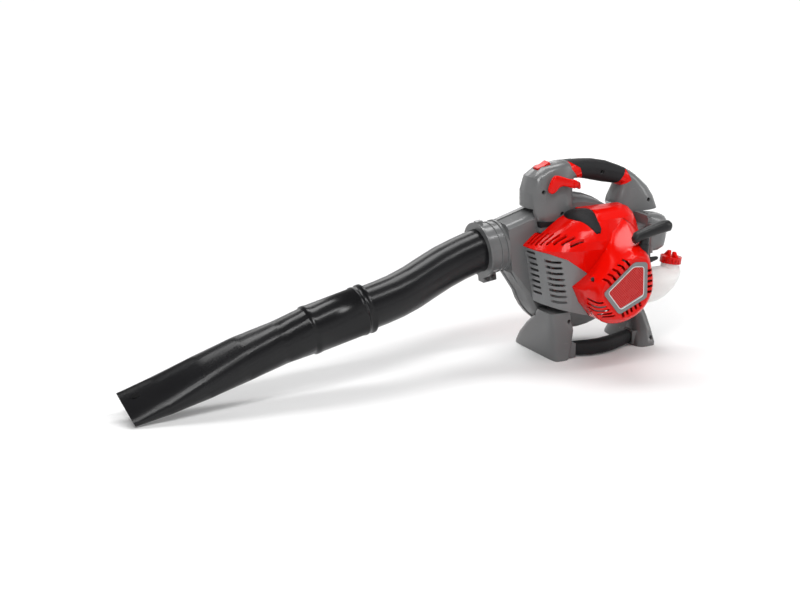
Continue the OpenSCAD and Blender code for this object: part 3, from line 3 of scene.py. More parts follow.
import bmesh
import bpy
from mathutils import Matrix, Vector
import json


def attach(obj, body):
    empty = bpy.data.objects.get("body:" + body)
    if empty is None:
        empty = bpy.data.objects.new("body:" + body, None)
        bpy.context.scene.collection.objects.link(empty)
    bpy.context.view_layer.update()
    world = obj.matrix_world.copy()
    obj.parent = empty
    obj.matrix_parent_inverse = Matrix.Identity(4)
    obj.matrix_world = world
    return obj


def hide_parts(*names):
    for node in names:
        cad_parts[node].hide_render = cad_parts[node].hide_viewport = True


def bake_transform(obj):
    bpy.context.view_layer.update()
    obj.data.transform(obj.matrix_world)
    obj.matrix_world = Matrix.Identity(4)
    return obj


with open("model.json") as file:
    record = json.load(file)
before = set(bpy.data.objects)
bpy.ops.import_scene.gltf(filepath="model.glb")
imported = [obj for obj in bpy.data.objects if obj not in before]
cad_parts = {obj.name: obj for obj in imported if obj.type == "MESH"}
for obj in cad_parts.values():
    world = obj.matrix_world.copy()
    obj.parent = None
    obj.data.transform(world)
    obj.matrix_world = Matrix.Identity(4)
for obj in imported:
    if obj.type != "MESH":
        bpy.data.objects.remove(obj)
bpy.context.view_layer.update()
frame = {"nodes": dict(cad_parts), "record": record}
NODES = frame["nodes"]
RECORD = frame["record"]
BODY_OF = {node: body for body, nodes in RECORD["behaviour"]["bodies"].items() for node in nodes}
SLOT_OF = {part["node"]: part["material_slot"] for part in RECORD["subparts"]}
scene = bpy.context.scene
scene.view_settings.view_transform = "Standard"

WHITE = (1, 1, 1, 1)
# In metres: points this close are one point, and a cut this close to a point goes through it
SAME_POINT = 0.00002
ON_PLANE = 1e-6
# In degrees: faces that meet at more than this keep a crisp edge
CREASE = 32
# In millimetres: the crank's axis and the starter's face, which the badge and the rope are set from
CRANK_X, CRANK_Z, FACE_Y = 55.0, 150.0, -175.0


def mm(x, y, z):
    """A point or a step given in millimetres."""
    return Vector((x, y, z)) / 1000


# ---------------------------------------------------------------- node trees

def add(tree, kind, links=None, **settings):
    """Adds a node. Its inputs are linked to sockets or set to values."""
    node = tree.nodes.new(kind)
    for key, value in settings.items():
        setattr(node, key, value)
    for key, value in (links or {}).items():
        socket = node.inputs[key]
        if isinstance(value, bpy.types.NodeSocket):
            tree.links.new(value, socket)
        else:
            socket.default_value = value
    return node


def object_place(tree):
    return add(tree, "ShaderNodeTexCoord").outputs["Object"]


def noise(tree, where, scale, detail=2.0, rough=0.5):
    return add(tree, "ShaderNodeTexNoise", {"Vector": where, "Scale": scale, "Detail": detail,
                                            "Roughness": rough}).outputs["Fac"]


def spread(tree, value, low, high, to_low, to_high):
    """Maps low to high onto another range."""
    return add(tree, "ShaderNodeMapRange", {
        "Value": value, "From Min": low, "From Max": high, "To Min": to_low,
        "To Max": to_high}).outputs["Result"]


def maths(tree, operation, a, b):
    return add(tree, "ShaderNodeMath", {0: a, 1: b}, operation=operation).outputs[0]


def tint(tree, factor, low, high):
    """Mixes two colours, each given as numbers or as a socket."""
    mix = add(tree, "ShaderNodeMix", data_type="RGBA")
    tree.links.new(factor, mix.inputs[0])
    for socket, value in ((mix.inputs[6], low), (mix.inputs[7], high)):
        if isinstance(value, bpy.types.NodeSocket):
            tree.links.new(value, socket)
        else:
            socket.default_value = (*value, 1)
    return mix.outputs[2]


# ---------------------------------------------------------------- camera, light and floor

# A focal length of 1740 pixels on an image 800 pixels wide
SENSOR_WIDTH = 36.0
FOCAL_LENGTH = 1740 * SENSOR_WIDTH / 800
CAMERA_TURN, CAMERA_RISE = math.radians(-27.6), math.radians(16.2)
CAMERA_PLACE = Vector((-1.5730, -2.4723, 0.9408))

# Each lamp's name, place, the point it looks at, width, height and power
LAMPS = (
    ("key_softbox", (-1.7, -1.8, 2.2), (0, 0, 0.15), 0.8, 0.7, 24),
    ("front_strip", (-0.25, -1.15, 2.3), (-0.25, 0, 0.15), 2.6, 0.3, 26),
    ("top_softbox", (0.1, 0.9, 2.6), (-0.2, 0, 0.1), 2.4, 0.8, 40),
    ("side_softbox", (2.2, -1.3, 1.3), (0.05, 0, 0.15), 0.35, 1.5, 12),
    ("back_softbox", (0.6, 2.4, 1.7), (0, 0, 0.15), 1.6, 1.2, 14),
)
FILL_STRENGTH = 0.30


def stand(name, data, place, back):
    """Links a lamp or camera that looks against back, with its top up."""
    obj = bpy.data.objects.new(name, data)
    scene.collection.objects.link(obj)
    right = Vector((0, 0, 1)).cross(back).normalized()
    turn = Matrix((right, back.cross(right), back)).transposed().to_4x4()
    turn.translation = place
    obj.matrix_world = turn
    return obj


def make_camera():
    lens = bpy.data.cameras.new("front_left_view")
    lens.sensor_width = SENSOR_WIDTH
    lens.sensor_fit = "HORIZONTAL"
    lens.lens = FOCAL_LENGTH
    lens.clip_end = 60
    back = Vector((math.sin(CAMERA_TURN) * math.cos(CAMERA_RISE),
                   -math.cos(CAMERA_TURN) * math.cos(CAMERA_RISE), math.sin(CAMERA_RISE)))
    scene.camera = stand("front_left_view", lens, CAMERA_PLACE, back)


def make_lamps():
    for name, place, target, width, height, power in LAMPS:
        light = bpy.data.lights.new(name, "AREA")
        light.shape = "RECTANGLE"
        light.size, light.size_y = width, height
        light.energy = power
        stand(name, light, Vector(place), (Vector(place) - Vector(target)).normalized())


def make_studio_air():
    """A dim even fill on the object. Camera, gloss and glass see a white wall that dims overhead."""
    world = bpy.data.worlds.new("studio")
    scene.world = world
    world.use_nodes = True
    tree = world.node_tree
    tree.nodes.clear()
    way = add(tree, "ShaderNodeTexCoord").outputs["Generated"]
    rise = add(tree, "ShaderNodeSeparateXYZ", {"Vector": way}).outputs["Z"]
    wall = spread(tree, rise, 0.12, 0.55, 1.0, 0.16)
    fill = add(tree, "ShaderNodeBackground", {"Color": WHITE, "Strength": FILL_STRENGTH})
    seen = add(tree, "ShaderNodeBackground", {"Color": WHITE, "Strength": wall})
    path = add(tree, "ShaderNodeLightPath")
    clear = maths(tree, "MAXIMUM", path.outputs["Is Camera Ray"], path.outputs["Is Glossy Ray"])
    clear = maths(tree, "MAXIMUM", clear, path.outputs["Is Transmission Ray"])
    mix = add(tree, "ShaderNodeMixShader", {0: clear, 1: fill.outputs[0], 2: seen.outputs[0]})
    add(tree, "ShaderNodeOutputWorld", {"Surface": mix.outputs[0]})


def make_floor():
    """Pale floor that keeps shadows near the object and glows to white further out."""
    paint, tree, shader = start_material("studio_floor")
    shader.inputs["Base Color"].default_value = (0.86, 0.86, 0.86, 1)
    shader.inputs["Roughness"].default_value = 0.55
    shader.inputs["Specular IOR Level"].default_value = 0.25
    shader.inputs["Emission Color"].default_value = WHITE
    reach = add(tree, "ShaderNodeVectorMath", {0: object_place(tree)}, operation="LENGTH")
    path = add(tree, "ShaderNodeLightPath")
    glow = maths(tree, "MULTIPLY", path.outputs["Is Camera Ray"],
                 spread(tree, reach.outputs["Value"], 0.7, 3.0, 0.02, 0.72))
    tree.links.new(glow, shader.inputs["Emission Strength"])
    form = bmesh.new()
    bmesh.ops.create_grid(form, x_segments=1, y_segments=1, size=14)
    make_piece("studio_floor", form, paint)


# ---------------------------------------------------------------- shared surface effects

def new_group(name, sockets_in, sockets_out):
    """A shader group with number sockets, given as names with defaults, and as names."""
    group = bpy.data.node_groups.new(name, "ShaderNodeTree")
    for label, value in sockets_in.items():
        socket = group.interface.new_socket(label, in_out="INPUT", socket_type="NodeSocketFloat")
        socket.default_value = value
    for label in sockets_out:
        group.interface.new_socket(label, in_out="OUTPUT", socket_type="NodeSocketFloat")
    return group, group.nodes.new("NodeGroupInput"), group.nodes.new("NodeGroupOutput")


def mould_grain():
    """Spark-eroded grain of a moulded part: a height, and a mask that varies over centimetres."""
    group, give, take = new_group("mould_grain", {"Grain Size": 1400.0, "Wave Size": 22.0},
                                  ("Height", "Cloud"))
    where = object_place(group)
    size = give.outputs["Grain Size"]
    fine = noise(group, where, size, 3.0, 0.6)
    pits = add(group, "ShaderNodeTexVoronoi", {"Vector": where, "Scale": size}).outputs["Distance"]
    cloud = noise(group, where, give.outputs["Wave Size"], 4.0, 0.55)
    group.links.new(maths(group, "MULTIPLY", fine, pits), take.inputs["Height"])
    group.links.new(cloud, take.inputs["Cloud"])
    return group


def handling_marks():
    """Hairline scuffs in two directions and soft smears, as on a part that is wiped and carried."""
    group, give, take = new_group("handling_marks", {"Density": 1.0}, ("Scuffs", "Smears"))
    where = object_place(group)
    lines = []
    for turn, squeeze in ((0.5, (240, 12, 260)), (-0.9, (14, 260, 240))):
        place = add(group, "ShaderNodeMapping", {"Vector": where, "Rotation": (turn, 0.4, turn),
                                                 "Scale": squeeze})
        streak = noise(group, place.outputs["Vector"], 3.0, 2.0, 0.6)
        lines.append(spread(group, streak, 0.66, 0.74, 0.0, 1.0))
    patch = spread(group, noise(group, where, 34.0, 3.0), 0.5, 0.7, 0.0, 1.0)
    marks = maths(group, "MULTIPLY", maths(group, "MAXIMUM", *lines), patch)
    smears = spread(group, noise(group, where, 9.0, 5.0, 0.6), 0.35, 0.75, 0.0, 1.0)
    group.links.new(maths(group, "MULTIPLY", marks, give.outputs["Density"]), take.inputs["Scuffs"])
    group.links.new(smears, take.inputs["Smears"])
    return group


def settled_dust():
    """Dust that lies on faces that look up, broken into patches."""
    group, give, take = new_group("settled_dust", {"Amount": 0.1}, ("Dust",))
    normal = add(group, "ShaderNodeNewGeometry").outputs["Normal"]
    up = add(group, "ShaderNodeSeparateXYZ", {"Vector": normal}).outputs["Z"]
    facing = spread(group, up, 0.2, 1.0, 0.0, 1.0)
    patch = spread(group, noise(group, object_place(group), 60.0, 6.0, 0.7), 0.35, 0.8, 0.0, 1.0)
    dust = maths(group, "MULTIPLY", maths(group, "MULTIPLY", facing, patch), give.outputs["Amount"])
    group.links.new(dust, take.inputs["Dust"])
    return group


GRAIN, MARKS, DUST = mould_grain(), handling_marks(), settled_dust()


def place_group(tree, group, **values):
    node = add(tree, "ShaderNodeGroup", node_tree=group)
    for key, value in values.items():
        node.inputs[key.replace("_", " ")].default_value = value
    return node.outputs


# ---------------------------------------------------------------- materials

def start_material(name):
    material = bpy.data.materials.new(name)
    material.use_nodes = True
    return material, material.node_tree, material.node_tree.nodes["Principled BSDF"]


def shape_normal(tree, shader, height, strength, distance):
    bump = add(tree, "ShaderNodeBump", {"Height": height, "Strength": strength,
                                        "Distance": distance})
    tree.links.new(bump.outputs["Normal"], shader.inputs["Normal"])


def wear_roughness(tree, shader, marks, low, high, scuffed):
    """Roughness that drifts with the smears and rises on the scuffs."""
    worn = maths(tree, "ADD", spread(tree, marks["Smears"], 0.0, 1.0, low, high),
                 maths(tree, "MULTIPLY", marks["Scuffs"], scuffed))
    tree.links.new(worn, shader.inputs["Roughness"])


def moulded(name, colour, shade, rough, grain_size, grain_depth, scuffs, dust, specular):
    """Moulded plastic: cloudy colour, grain, hairline scuffs that lighten it, a little dust."""
    material, tree, shader = start_material(name)
    grain = place_group(tree, GRAIN, Grain_Size=grain_size)
    marks = place_group(tree, MARKS, Density=scuffs)
    dusty = place_group(tree, DUST, Amount=dust)
    body = tint(tree, grain["Cloud"], colour, shade)
    scuffed = tint(tree, maths(tree, "MULTIPLY", marks["Scuffs"], 0.35), body,
                   tuple(min(1, c * 1.6 + 0.03) for c in colour))
    tree.links.new(tint(tree, dusty["Dust"], scuffed, (0.5, 0.48, 0.44)),
                   shader.inputs["Base Color"])
    wear_roughness(tree, shader, marks, rough - 0.05, rough + 0.05, 0.18)
    shape_normal(tree, shader, grain["Height"], grain_depth, 0.0004)
    shader.inputs["Specular IOR Level"].default_value = specular
    return material


def metal(name, colour, shade, rough, grain_size=900.0, grain_depth=0.15, brushed=0.0):
    """Metal with a fine grain and scuffs, and with brush lines along X where it is brushed."""
    material, tree, shader = start_material(name)
    grain = place_group(tree, GRAIN, Grain_Size=grain_size, Wave_Size=60.0)
    marks = place_group(tree, MARKS, Density=1.0)
    tree.links.new(tint(tree, grain["Cloud"], colour, shade), shader.inputs["Base Color"])
    wear_roughness(tree, shader, marks, rough - 0.07, rough + 0.08, 0.12)
    shader.inputs["Metallic"].default_value = 1.0
    height = grain["Height"]
    if brushed:
        place = add(tree, "ShaderNodeMapping", {"Vector": object_place(tree),
                                                "Scale": (60, 1500, 1500)})
        lines = maths(tree, "MULTIPLY", noise(tree, place.outputs["Vector"], 1.0), brushed)
        height = maths(tree, "ADD", height, lines)
    shape_normal(tree, shader, height, grain_depth, 0.0003)
    return material


def soft_rubber(name, colour, rough, dimples=0.0):
    """Dull rubber, with rows of raised dots where it is a grip's skin."""
    material, tree, shader = start_material(name)
    grain = place_group(tree, GRAIN, Grain_Size=1800.0)
    dusty = place_group(tree, DUST, Amount=0.04)
    body = tint(tree, grain["Cloud"], colour, tuple(c * 1.5 for c in colour))
    tree.links.new(tint(tree, dusty["Dust"], body, (0.16, 0.155, 0.15)),
                   shader.inputs["Base Color"])
    tree.links.new(spread(tree, grain["Cloud"], 0.2, 0.8, rough - 0.06, rough + 0.06),
                   shader.inputs["Roughness"])
    height = grain["Height"]
    if dimples:
        cells = add(tree, "ShaderNodeTexVoronoi", {"Vector": object_place(tree), "Scale": 420.0,
                                                   "Randomness": 0.15}).outputs["Distance"]
        dots = spread(tree, cells, 0.18, 0.38, 1.0, 0.0)
        height = maths(tree, "ADD", maths(tree, "MULTIPLY", height, 0.4),
                       maths(tree, "MULTIPLY", dots, dimples))
    shape_normal(tree, shader, height, 0.5, 0.0004)
    shader.inputs["Specular IOR Level"].default_value = 0.22
    return material


def milky_tank(name):
    """Blow-moulded tank: milky, letting light through, with flow marks and a waxy gloss."""
    material, tree, shader = start_material(name)
    grain = place_group(tree, GRAIN, Grain_Size=700.0, Wave_Size=16.0)
    marks = place_group(tree, MARKS, Density=0.4)
    tree.links.new(tint(tree, grain["Cloud"], (0.86, 0.86, 0.84), (0.95, 0.95, 0.93)),
                   shader.inputs["Base Color"])
    tree.links.new(spread(tree, marks["Smears"], 0.0, 1.0, 0.28, 0.42), shader.inputs["Roughness"])
    shader.inputs["Subsurface Weight"].default_value = 0.35
    shader.inputs["Subsurface Radius"].default_value = (0.01, 0.01, 0.01)
    shader.inputs["Subsurface Scale"].default_value = 0.6
    shape_normal(tree, shader, grain["Cloud"], 0.12, 0.001)
    return material


def braided(name, colour, shade):
    """Braided cord: two crossing helices of yarn."""
    material, tree, shader = start_material(name)
    where = object_place(tree)
    yarns = []
    for turn in (0.7, -0.7):
        place = add(tree, "ShaderNodeMapping", {"Vector": where, "Rotation": (0, turn, 0)})
        yarns.append(add(tree, "ShaderNodeTexWave", {
            "Vector": place.outputs["Vector"], "Scale": 260.0, "Distortion": 0.4},
            bands_direction="X").outputs["Fac"])
    weave = maths(tree, "MAXIMUM", *yarns)
    tree.links.new(tint(tree, weave, shade, colour), shader.inputs["Base Color"])
    tree.links.new(spread(tree, weave, 0.0, 1.0, 0.9, 0.7), shader.inputs["Roughness"])
    shape_normal(tree, shader, weave, 0.7, 0.0005)
    shader.inputs["Sheen Weight"].default_value = 0.3
    return material


def pleated_paper(name):
    """Cream filter paper with a fibrous face."""
    material, tree, shader = start_material(name)
    grain = place_group(tree, GRAIN, Grain_Size=2600.0, Wave_Size=90.0)
    tree.links.new(tint(tree, grain["Cloud"], (0.82, 0.77, 0.62), (0.9, 0.87, 0.76)),
                   shader.inputs["Base Color"])
    tree.links.new(spread(tree, grain["Cloud"], 0.0, 1.0, 0.8, 0.95), shader.inputs["Roughness"])
    shape_normal(tree, shader, grain["Height"], 0.4, 0.0003)
    return material


# Each plastic's name, its two colours, roughness, grain size and depth, scuffs, dust and specular
PLASTICS = (
    ("grey_plastic", (0.126, 0.128, 0.130), (0.144, 0.146, 0.148), 0.24, 1500, 0.05, 0.5, 0.02, 0.5),
    ("light_grey_plastic", (0.175, 0.178, 0.181), (0.198, 0.201, 0.204), 0.25, 1500, 0.05, 0.5,
     0.02, 0.5),
    ("red_plastic", (0.77, 0.004, 0.001), (0.70, 0.003, 0.001), 0.17, 900, 0.012, 0.3, 0.0, 0.22),
    ("black_plastic", (0.010, 0.010, 0.011), (0.016, 0.016, 0.017), 0.34, 1500, 0.08, 0.4, 0.02,
     0.3),
    ("black_tube", (0.005, 0.005, 0.006), (0.009, 0.009, 0.010), 0.26, 1100, 0.03, 0.4, 0.0, 0.3),
    ("pale_trim", (0.62, 0.62, 0.62), (0.72, 0.72, 0.72), 0.3, 1500, 0.04, 0.3, 0.0, 0.5),
    ("ceramic", (0.86, 0.86, 0.84), (0.92, 0.92, 0.90), 0.15, 1500, 0.01, 0.2, 0.0, 0.5),
)
MATERIALS = {row[0]: moulded(*row) for row in PLASTICS}
MATERIALS.update(
    soft_grip=soft_rubber("soft_grip", (0.010, 0.010, 0.011), 0.55, dimples=0.8),
    rubber=soft_rubber("rubber", (0.008, 0.008, 0.009), 0.5),
    # Near-black rubber that is painted shade, standing for the dark inside of the nozzle's hanging
    # hole
    deep_pocket=soft_rubber("deep_pocket", (0.0015, 0.0015, 0.0016), 0.85),
    steel=metal("steel", (0.52, 0.52, 0.53), (0.62, 0.61, 0.60), 0.33, brushed=0.4),
    cast_alloy=metal("cast_alloy", (0.55, 0.555, 0.56), (0.68, 0.68, 0.69), 0.48, 700.0, 0.4),
    blackened_steel=metal("blackened_steel", (0.05, 0.05, 0.052), (0.09, 0.09, 0.09), 0.42),
    tank_plastic=milky_tank("tank_plastic"),
    filter_paper=pleated_paper("filter_paper"),
    rope=braided("rope", (0.72, 0.72, 0.70), (0.35, 0.35, 0.34)),
)
# Nodes whose finish differs from their slot's
OWN_FINISH = {"housing_screws": "blackened_steel", "clamp_screws": "blackened_steel",
              "air_filter_base": "grey_plastic"}


# ---------------------------------------------------------------- forms and pieces

def copy_of(node):
    """A node's shape with its doubles merged."""
    form = bmesh.new()
    form.from_mesh(NODES[node].data)
    bmesh.ops.remove_doubles(form, verts=form.verts, dist=SAME_POINT)
    return form


def cut(form, place, way, **clear):
    """Cuts a form through at a plane, and clears one side of it if told to."""
    bmesh.ops.bisect_plane(form, geom=form.verts[:] + form.edges[:] + form.faces[:], dist=ON_PLANE,
                           plane_co=place, plane_no=way, **clear)


def outline_face(form, points):
    return form.faces.new([form.verts.new(point) for point in points])


def thicken(form, step):
    """Draws a form's flat faces out by a step into a closed shape."""
    drawn = bmesh.ops.extrude_face_region(form, geom=form.faces[:])["geom"]
    bmesh.ops.translate(form, verts=[v for v in drawn if isinstance(v, bmesh.types.BMVert)],
                        vec=step)
    bmesh.ops.recalc_face_normals(form, faces=form.faces)


def round_edges(form, edges, by, segments, clamp=True):
    bmesh.ops.bevel(form, geom=edges, affect="EDGES", offset=by, segments=segments, profile=0.5,
                    material=-1, clamp_overlap=clamp)


def make_piece(name, form, finish, crease=CREASE):
    """Turns a form into an object at the origin, smooth between its creases."""
    for face in form.faces:
        face.smooth = True
    mesh = bpy.data.meshes.new(name)
    form.to_mesh(mesh)
    form.free()
    mesh.set_sharp_from_angle(angle=math.radians(crease))
    mesh.materials.append(finish)
    piece = bpy.data.objects.new(name, mesh)
    scene.collection.objects.link(piece)
    return piece


def add_piece(name, form, slot, finish=None, body="root"):
    """A piece beside the nodes, on a body, in its slot's finish or its own."""
    piece = make_piece(name, form, finish or MATERIALS[slot])
    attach(piece, body)


def stand_for(node, form, crease=CREASE):
    """A piece that takes a node's place and hides the node, in its slot's finish or the node's own.
    """
    finish = MATERIALS[OWN_FINISH.get(node, SLOT_OF[node])]
    piece = make_piece(node + "_finished", form, finish, crease)
    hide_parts(node)
    return piece


def soften(node):
    """The node's own shape: flat faces joined, edges rounded, curved faces smooth."""
    form = copy_of(node)
    bmesh.ops.dissolve_degenerate(form, edges=form.edges, dist=SAME_POINT)
    bmesh.ops.dissolve_limit(form, angle_limit=math.radians(0.6), verts=form.verts,
                             edges=form.edges, delimit={"NORMAL"})
    piece = stand_for(node, form)
    bevel = piece.modifiers.new("soft_edges", "BEVEL")
    bevel.width = 0.0005
    bevel.segments = 2
    bevel.limit_method = "ANGLE"
    bevel.angle_limit = math.radians(CREASE)
    bevel.harden_normals = True
    bevel.use_clamp_overlap = True
    bevel.miter_outer = "MITER_ARC"
    return piece


# ---------------------------------------------------------------- laps over the grip's collars

# The handle's skin and posts lap over the red collars. Each lap's name, slot, lift in metres, and
# cuts, as a point of the plane and the side of it that stays.
LAPS = (
    ("grip_lap_front", "soft_grip", 0.0004,
     ((mm(39, 0, 337.5), (0.515, 0, 0.857)), (mm(100, 0, 0), (-1, 0, 0)))),
    ("post_lap_front", "grey_plastic", 0.0004, ((mm(40, 0, 325), (-0.986, 0, -0.164)),)),
    ("grip_lap_rear", "soft_grip", 0.0004,
     ((mm(150, 0, 310), (-0.35, 0, 0.94)), (mm(100, 0, 0), (1, 0, 0)))),
    ("post_lap_rear", "grey_plastic", 0.0006, ((mm(160.5, 0, 305), (0.94, 0, 0.34)),)),
)


def make_laps():
    for name, slot, lift, cuts in LAPS:
        form = copy_of("grip_collars")
        for place, way in cuts:
            cut(form, place, way, clear_inner=True)
        form.normal_update()
        for point in form.verts:
            point.co += point.normal * lift
        add_piece(name, form, slot)


# ---------------------------------------------------------------- badge on the starter

# The badge plate's corners, in X and Z from the crank's axis, and the point it shrinks towards
BADGE_CORNERS = ((40, 43), (42, -21), (-16, -45), (-50, -3), (13, 46))
BADGE_X, BADGE_Z = -1, 3
BADGE_SHARE = 0.80
# The foil changes from silver to red across this slanting line, in metres
FOIL_SLANT, FOIL_LOW, FOIL_HIGH = 0.42, 0.0995, 0.1000


def badge_form(y):
    """The badge's outline with rounded corners, at one depth."""
    form = bmesh.new()
    face = outline_face(form, [mm(CRANK_X + BADGE_X + (x - BADGE_X) * BADGE_SHARE, y,
                                  CRANK_Z + BADGE_Z + (z - BADGE_Z) * BADGE_SHARE)
                               for x, z in BADGE_CORNERS])
    bmesh.ops.bevel(form, geom=face.verts[:], affect="VERTICES", offset=0.005, segments=5,
                    profile=0.5, material=-1)
    return form


def badge_foil():
    """Satin foil: red with a fine weave, and silver below a slanting line."""
    material, tree, shader = start_material("badge_foil")
    where = object_place(tree)
    place = add(tree, "ShaderNodeSeparateXYZ", {"Vector": where}).outputs
    slant = maths(tree, "SUBTRACT", place["Z"], maths(tree, "MULTIPLY", place["X"], FOIL_SLANT))
    silver = spread(tree, slant, FOIL_LOW, FOIL_HIGH, 1.0, 0.0)
    checks = add(tree, "ShaderNodeTexChecker", {"Vector": where, "Scale": 420.0}).outputs["Fac"]
    grain = place_group(tree, GRAIN, Grain_Size=1700.0, Wave_Size=45.0)
    weave = maths(tree, "MULTIPLY", maths(tree, "ADD", checks, grain["Cloud"]), 0.5)
    red = tint(tree, weave, (0.30, 0.004, 0.003), (0.62, 0.010, 0.008))
    pale = tint(tree, grain["Cloud"], (0.30, 0.30, 0.31), (0.44, 0.44, 0.45))
    tree.links.new(tint(tree, silver, red, pale), shader.inputs["Base Color"])
    tree.links.new(spread(tree, weave, 0.0, 1.0, 0.24, 0.36), shader.inputs["Roughness"])
    shape_normal(tree, shader, checks, 0.15, 0.0002)
    shader.inputs["Specular IOR Level"].default_value = 0.4
    return material


def make_badge():
    """A foil plate with a thin raised line along its rim."""
    foil = badge_form(FACE_Y - 1.25)
    thicken(foil, mm(0, -0.5, 0))
    add_piece("badge_foil_plate", foil, "red_plastic", badge_foil())
    rim = badge_form(FACE_Y - 1.75)
    bmesh.ops.inset_region(rim, faces=rim.faces[:], thickness=0.0013, use_even_offset=True,
                           use_boundary=True)
    inside = [f for f in rim.faces if all(len(e.link_faces) == 2 for e in f.edges)]
    bmesh.ops.delete(rim, geom=inside, context="FACES")
    thicken(rim, mm(0, -0.7, 0))
    add_piece("badge_rim_line", rim, "light_grey_plastic", MATERIALS["pale_trim"])


# ---------------------------------------------------------------- lever, trigger and cap

# Outlines in X and Z, in millimetres
LEVER_OUTLINE = (
    (35, 295.6), (39.5, 297.2), (42.3, 301), (42.3, 305.5), (39.5, 309.2), (34, 311.4),
    (24, 313.6), (12, 318), (3, 321), (-4, 321.4), (-9, 317.5), (-12.5, 310), (-15.5, 303),
    (-17, 298), (-15.6, 293.6), (-11.5, 290.9), (-6.5, 291.2), (-2, 294), (2, 298.2), (6, 301.2),
    (12, 302), (20, 300.6), (28, 297.4))
LEVER_PIN_X, LEVER_PIN_Z, LEVER_PIN_RADIUS = 35, 303, 0.003
TRIGGER_BACK = ((34, 301.3), (38, 303.6), (46, 303.2), (54, 301), (60, 299.5), (65, 298.6),
                (68, 296.5), (69.4, 291), (69.6, 286.4), (67, 284.6), (63.6, 286.8))
TRIGGER_ROOT = ((42, 290.4), (35.4, 292.6), (33, 297))
TRIGGER_RIBS, RIB_PITCH = 5, 3.6


def plate(outline, near, far, round_by, segments):
    """A plate standing across Y, thickened between two places, its rims rounded."""
    form = bmesh.new()
    outline_face(form, [mm(x, far, z) for x, z in outline])
    thicken(form, mm(0, near - far, 0))
    rims = [e for e in form.edges if abs(e.verts[0].co.y - e.verts[1].co.y) < ON_PLANE]
    round_edges(form, rims, round_by, segments)
    return form


def make_cruise_lever():
    """Drop shaped lever whose arm runs forward from its stub pin along the post's flank."""
    form = plate(LEVER_OUTLINE, -40.8, -34.2, 0.0022, 4)
    pin_near, pin_far = -42.0, -11.8
    turn = Matrix.Translation(mm(LEVER_PIN_X, (pin_near + pin_far) / 2, LEVER_PIN_Z))
    bmesh.ops.create_cone(form, cap_ends=True, segments=32, radius1=LEVER_PIN_RADIUS,
                          radius2=LEVER_PIN_RADIUS, depth=(pin_far - pin_near) / 1000,
                          matrix=turn @ Matrix.Rotation(math.radians(90), 4, "X"))
    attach(stand_for("cruise_lever", form), "cruise")


def make_trigger():
    """Finger lever with a deep hooked tip and a row of finger ribs under it."""
    ribs = []
    for step in range(TRIGGER_RIBS):
        x = 62.5 - RIB_PITCH * step
        rise = 0.35 * step
        ribs += [(x, 288.6 + rise), (x - 0.9, 289.9 + 0.3 * step), (x - 1.8, 288.7 + rise)]
    form = plate((*TRIGGER_BACK, *ribs, *TRIGGER_ROOT), -6.5, 6.5, 0.0016, 3)
    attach(stand_for("throttle_trigger", form), "trigger")


# The tank's neck, up its axis from its foot, and the cap's top and wings on it in millimetres
NECK = Matrix.Translation(mm(226, -61, 147)) @ Matrix.Rotation(math.radians(8), 4, "Y")
CAP_TOP = 12.001
WING_OUTLINE = ((4.2, 11.4), (4.6, 19.4), (6.0, 21.0), (9.2, 20.8), (13.4, 16.4), (17.6, 12.9),
                (17.8, 11.4))
WING_WIDTH = 6.8
# In metres: a wing's rims are rounded above this height, and its foot stays sharp in the cap
WING_FOOT = 0.0116


def make_fuel_cap():
    """Notched cap with a pair of finger wings that slope down to its rim."""
    cap = copy_of("fuel_cap")
    cut(cap, NECK @ mm(0, 0, CAP_TOP), NECK.to_3x3() @ Vector((0, 0, 1)), clear_outer=True)
    bmesh.ops.holes_fill(cap, edges=[e for e in cap.edges if e.is_boundary], sides=0)
    for side in (-1, 1):
        wing = bmesh.new()
        outline_face(wing, [mm(-WING_WIDTH / 2, side * r, z) for r, z in WING_OUTLINE])
        thicken(wing, mm(WING_WIDTH, 0, 0))
        rims = [e for e in wing.edges if abs(e.verts[0].co.x - e.verts[1].co.x) < ON_PLANE and
                (e.verts[0].co.z + e.verts[1].co.z) / 2 > WING_FOOT]
        round_edges(wing, rims, 0.0013, 3, clamp=False)
        bmesh.ops.transform(wing, matrix=NECK, verts=wing.verts)
        held = bpy.data.meshes.new("wing")
        wing.to_mesh(held)
        wing.free()
        cap.from_mesh(held)
    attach(stand_for("fuel_cap", cap), BODY_OF["fuel_cap"])


# ---------------------------------------------------------------- nozzle

# The sleeve's end, and the way to the mouth from it
SLEEVE_END = mm(-352, -16, 130)
SLOPE = math.radians(12.5)
ALONG = Vector((-math.cos(SLOPE), 0, -math.sin(SLOPE)))
# Reach from the sleeve's end, fall of the middle, its lift, width and height against the plain
# form, and turn towards the engine side in degrees
FISHTAIL = ((110, 0.6, 0, 1, 1, 0), (160, 4, 2, 1.04, 1.13, 9), (230, 9, 4, 1.06, 1.26, 21),
            (300, 14, 4, 1.04, 1.18, 28), (370, 18, 4, 0.98, 0.86, 31),
            (431, 19.6, 5, 0.92, 0.45, 31))
# In millimetres of reach: where the fishtail starts, its rings, and where it is drawn back
FISHTAIL_START = 111
FISHTAIL_RINGS = range(112, 430, 9)
DRAWN_BACK_FROM, DRAWN_BACK_SHARE = 300, 50
HOLE_REACH, HOLE_RADIUS = 404, 0.0034


def fishtail(reach):
    """The middle before and after shaping, the widening, thickening and turn, at one reach."""
    for a, b in zip(FISHTAIL, FISHTAIL[1:]):
        if reach <= b[0] or b is FISHTAIL[-1]:
            share = (reach - a[0]) / (b[0] - a[0])
            drop, lift, wide, tall, turn = (low + (high - low) * share
                                            for low, high in zip(a[1:], b[1:]))
            break
    middle = SLEEVE_END + ALONG * (reach / 1000) + mm(0, 1, -drop)
    turned = Matrix.Rotation(math.radians(-turn), 3, ALONG)
    return middle, middle + mm(0, 0, lift), wide, tall, turned


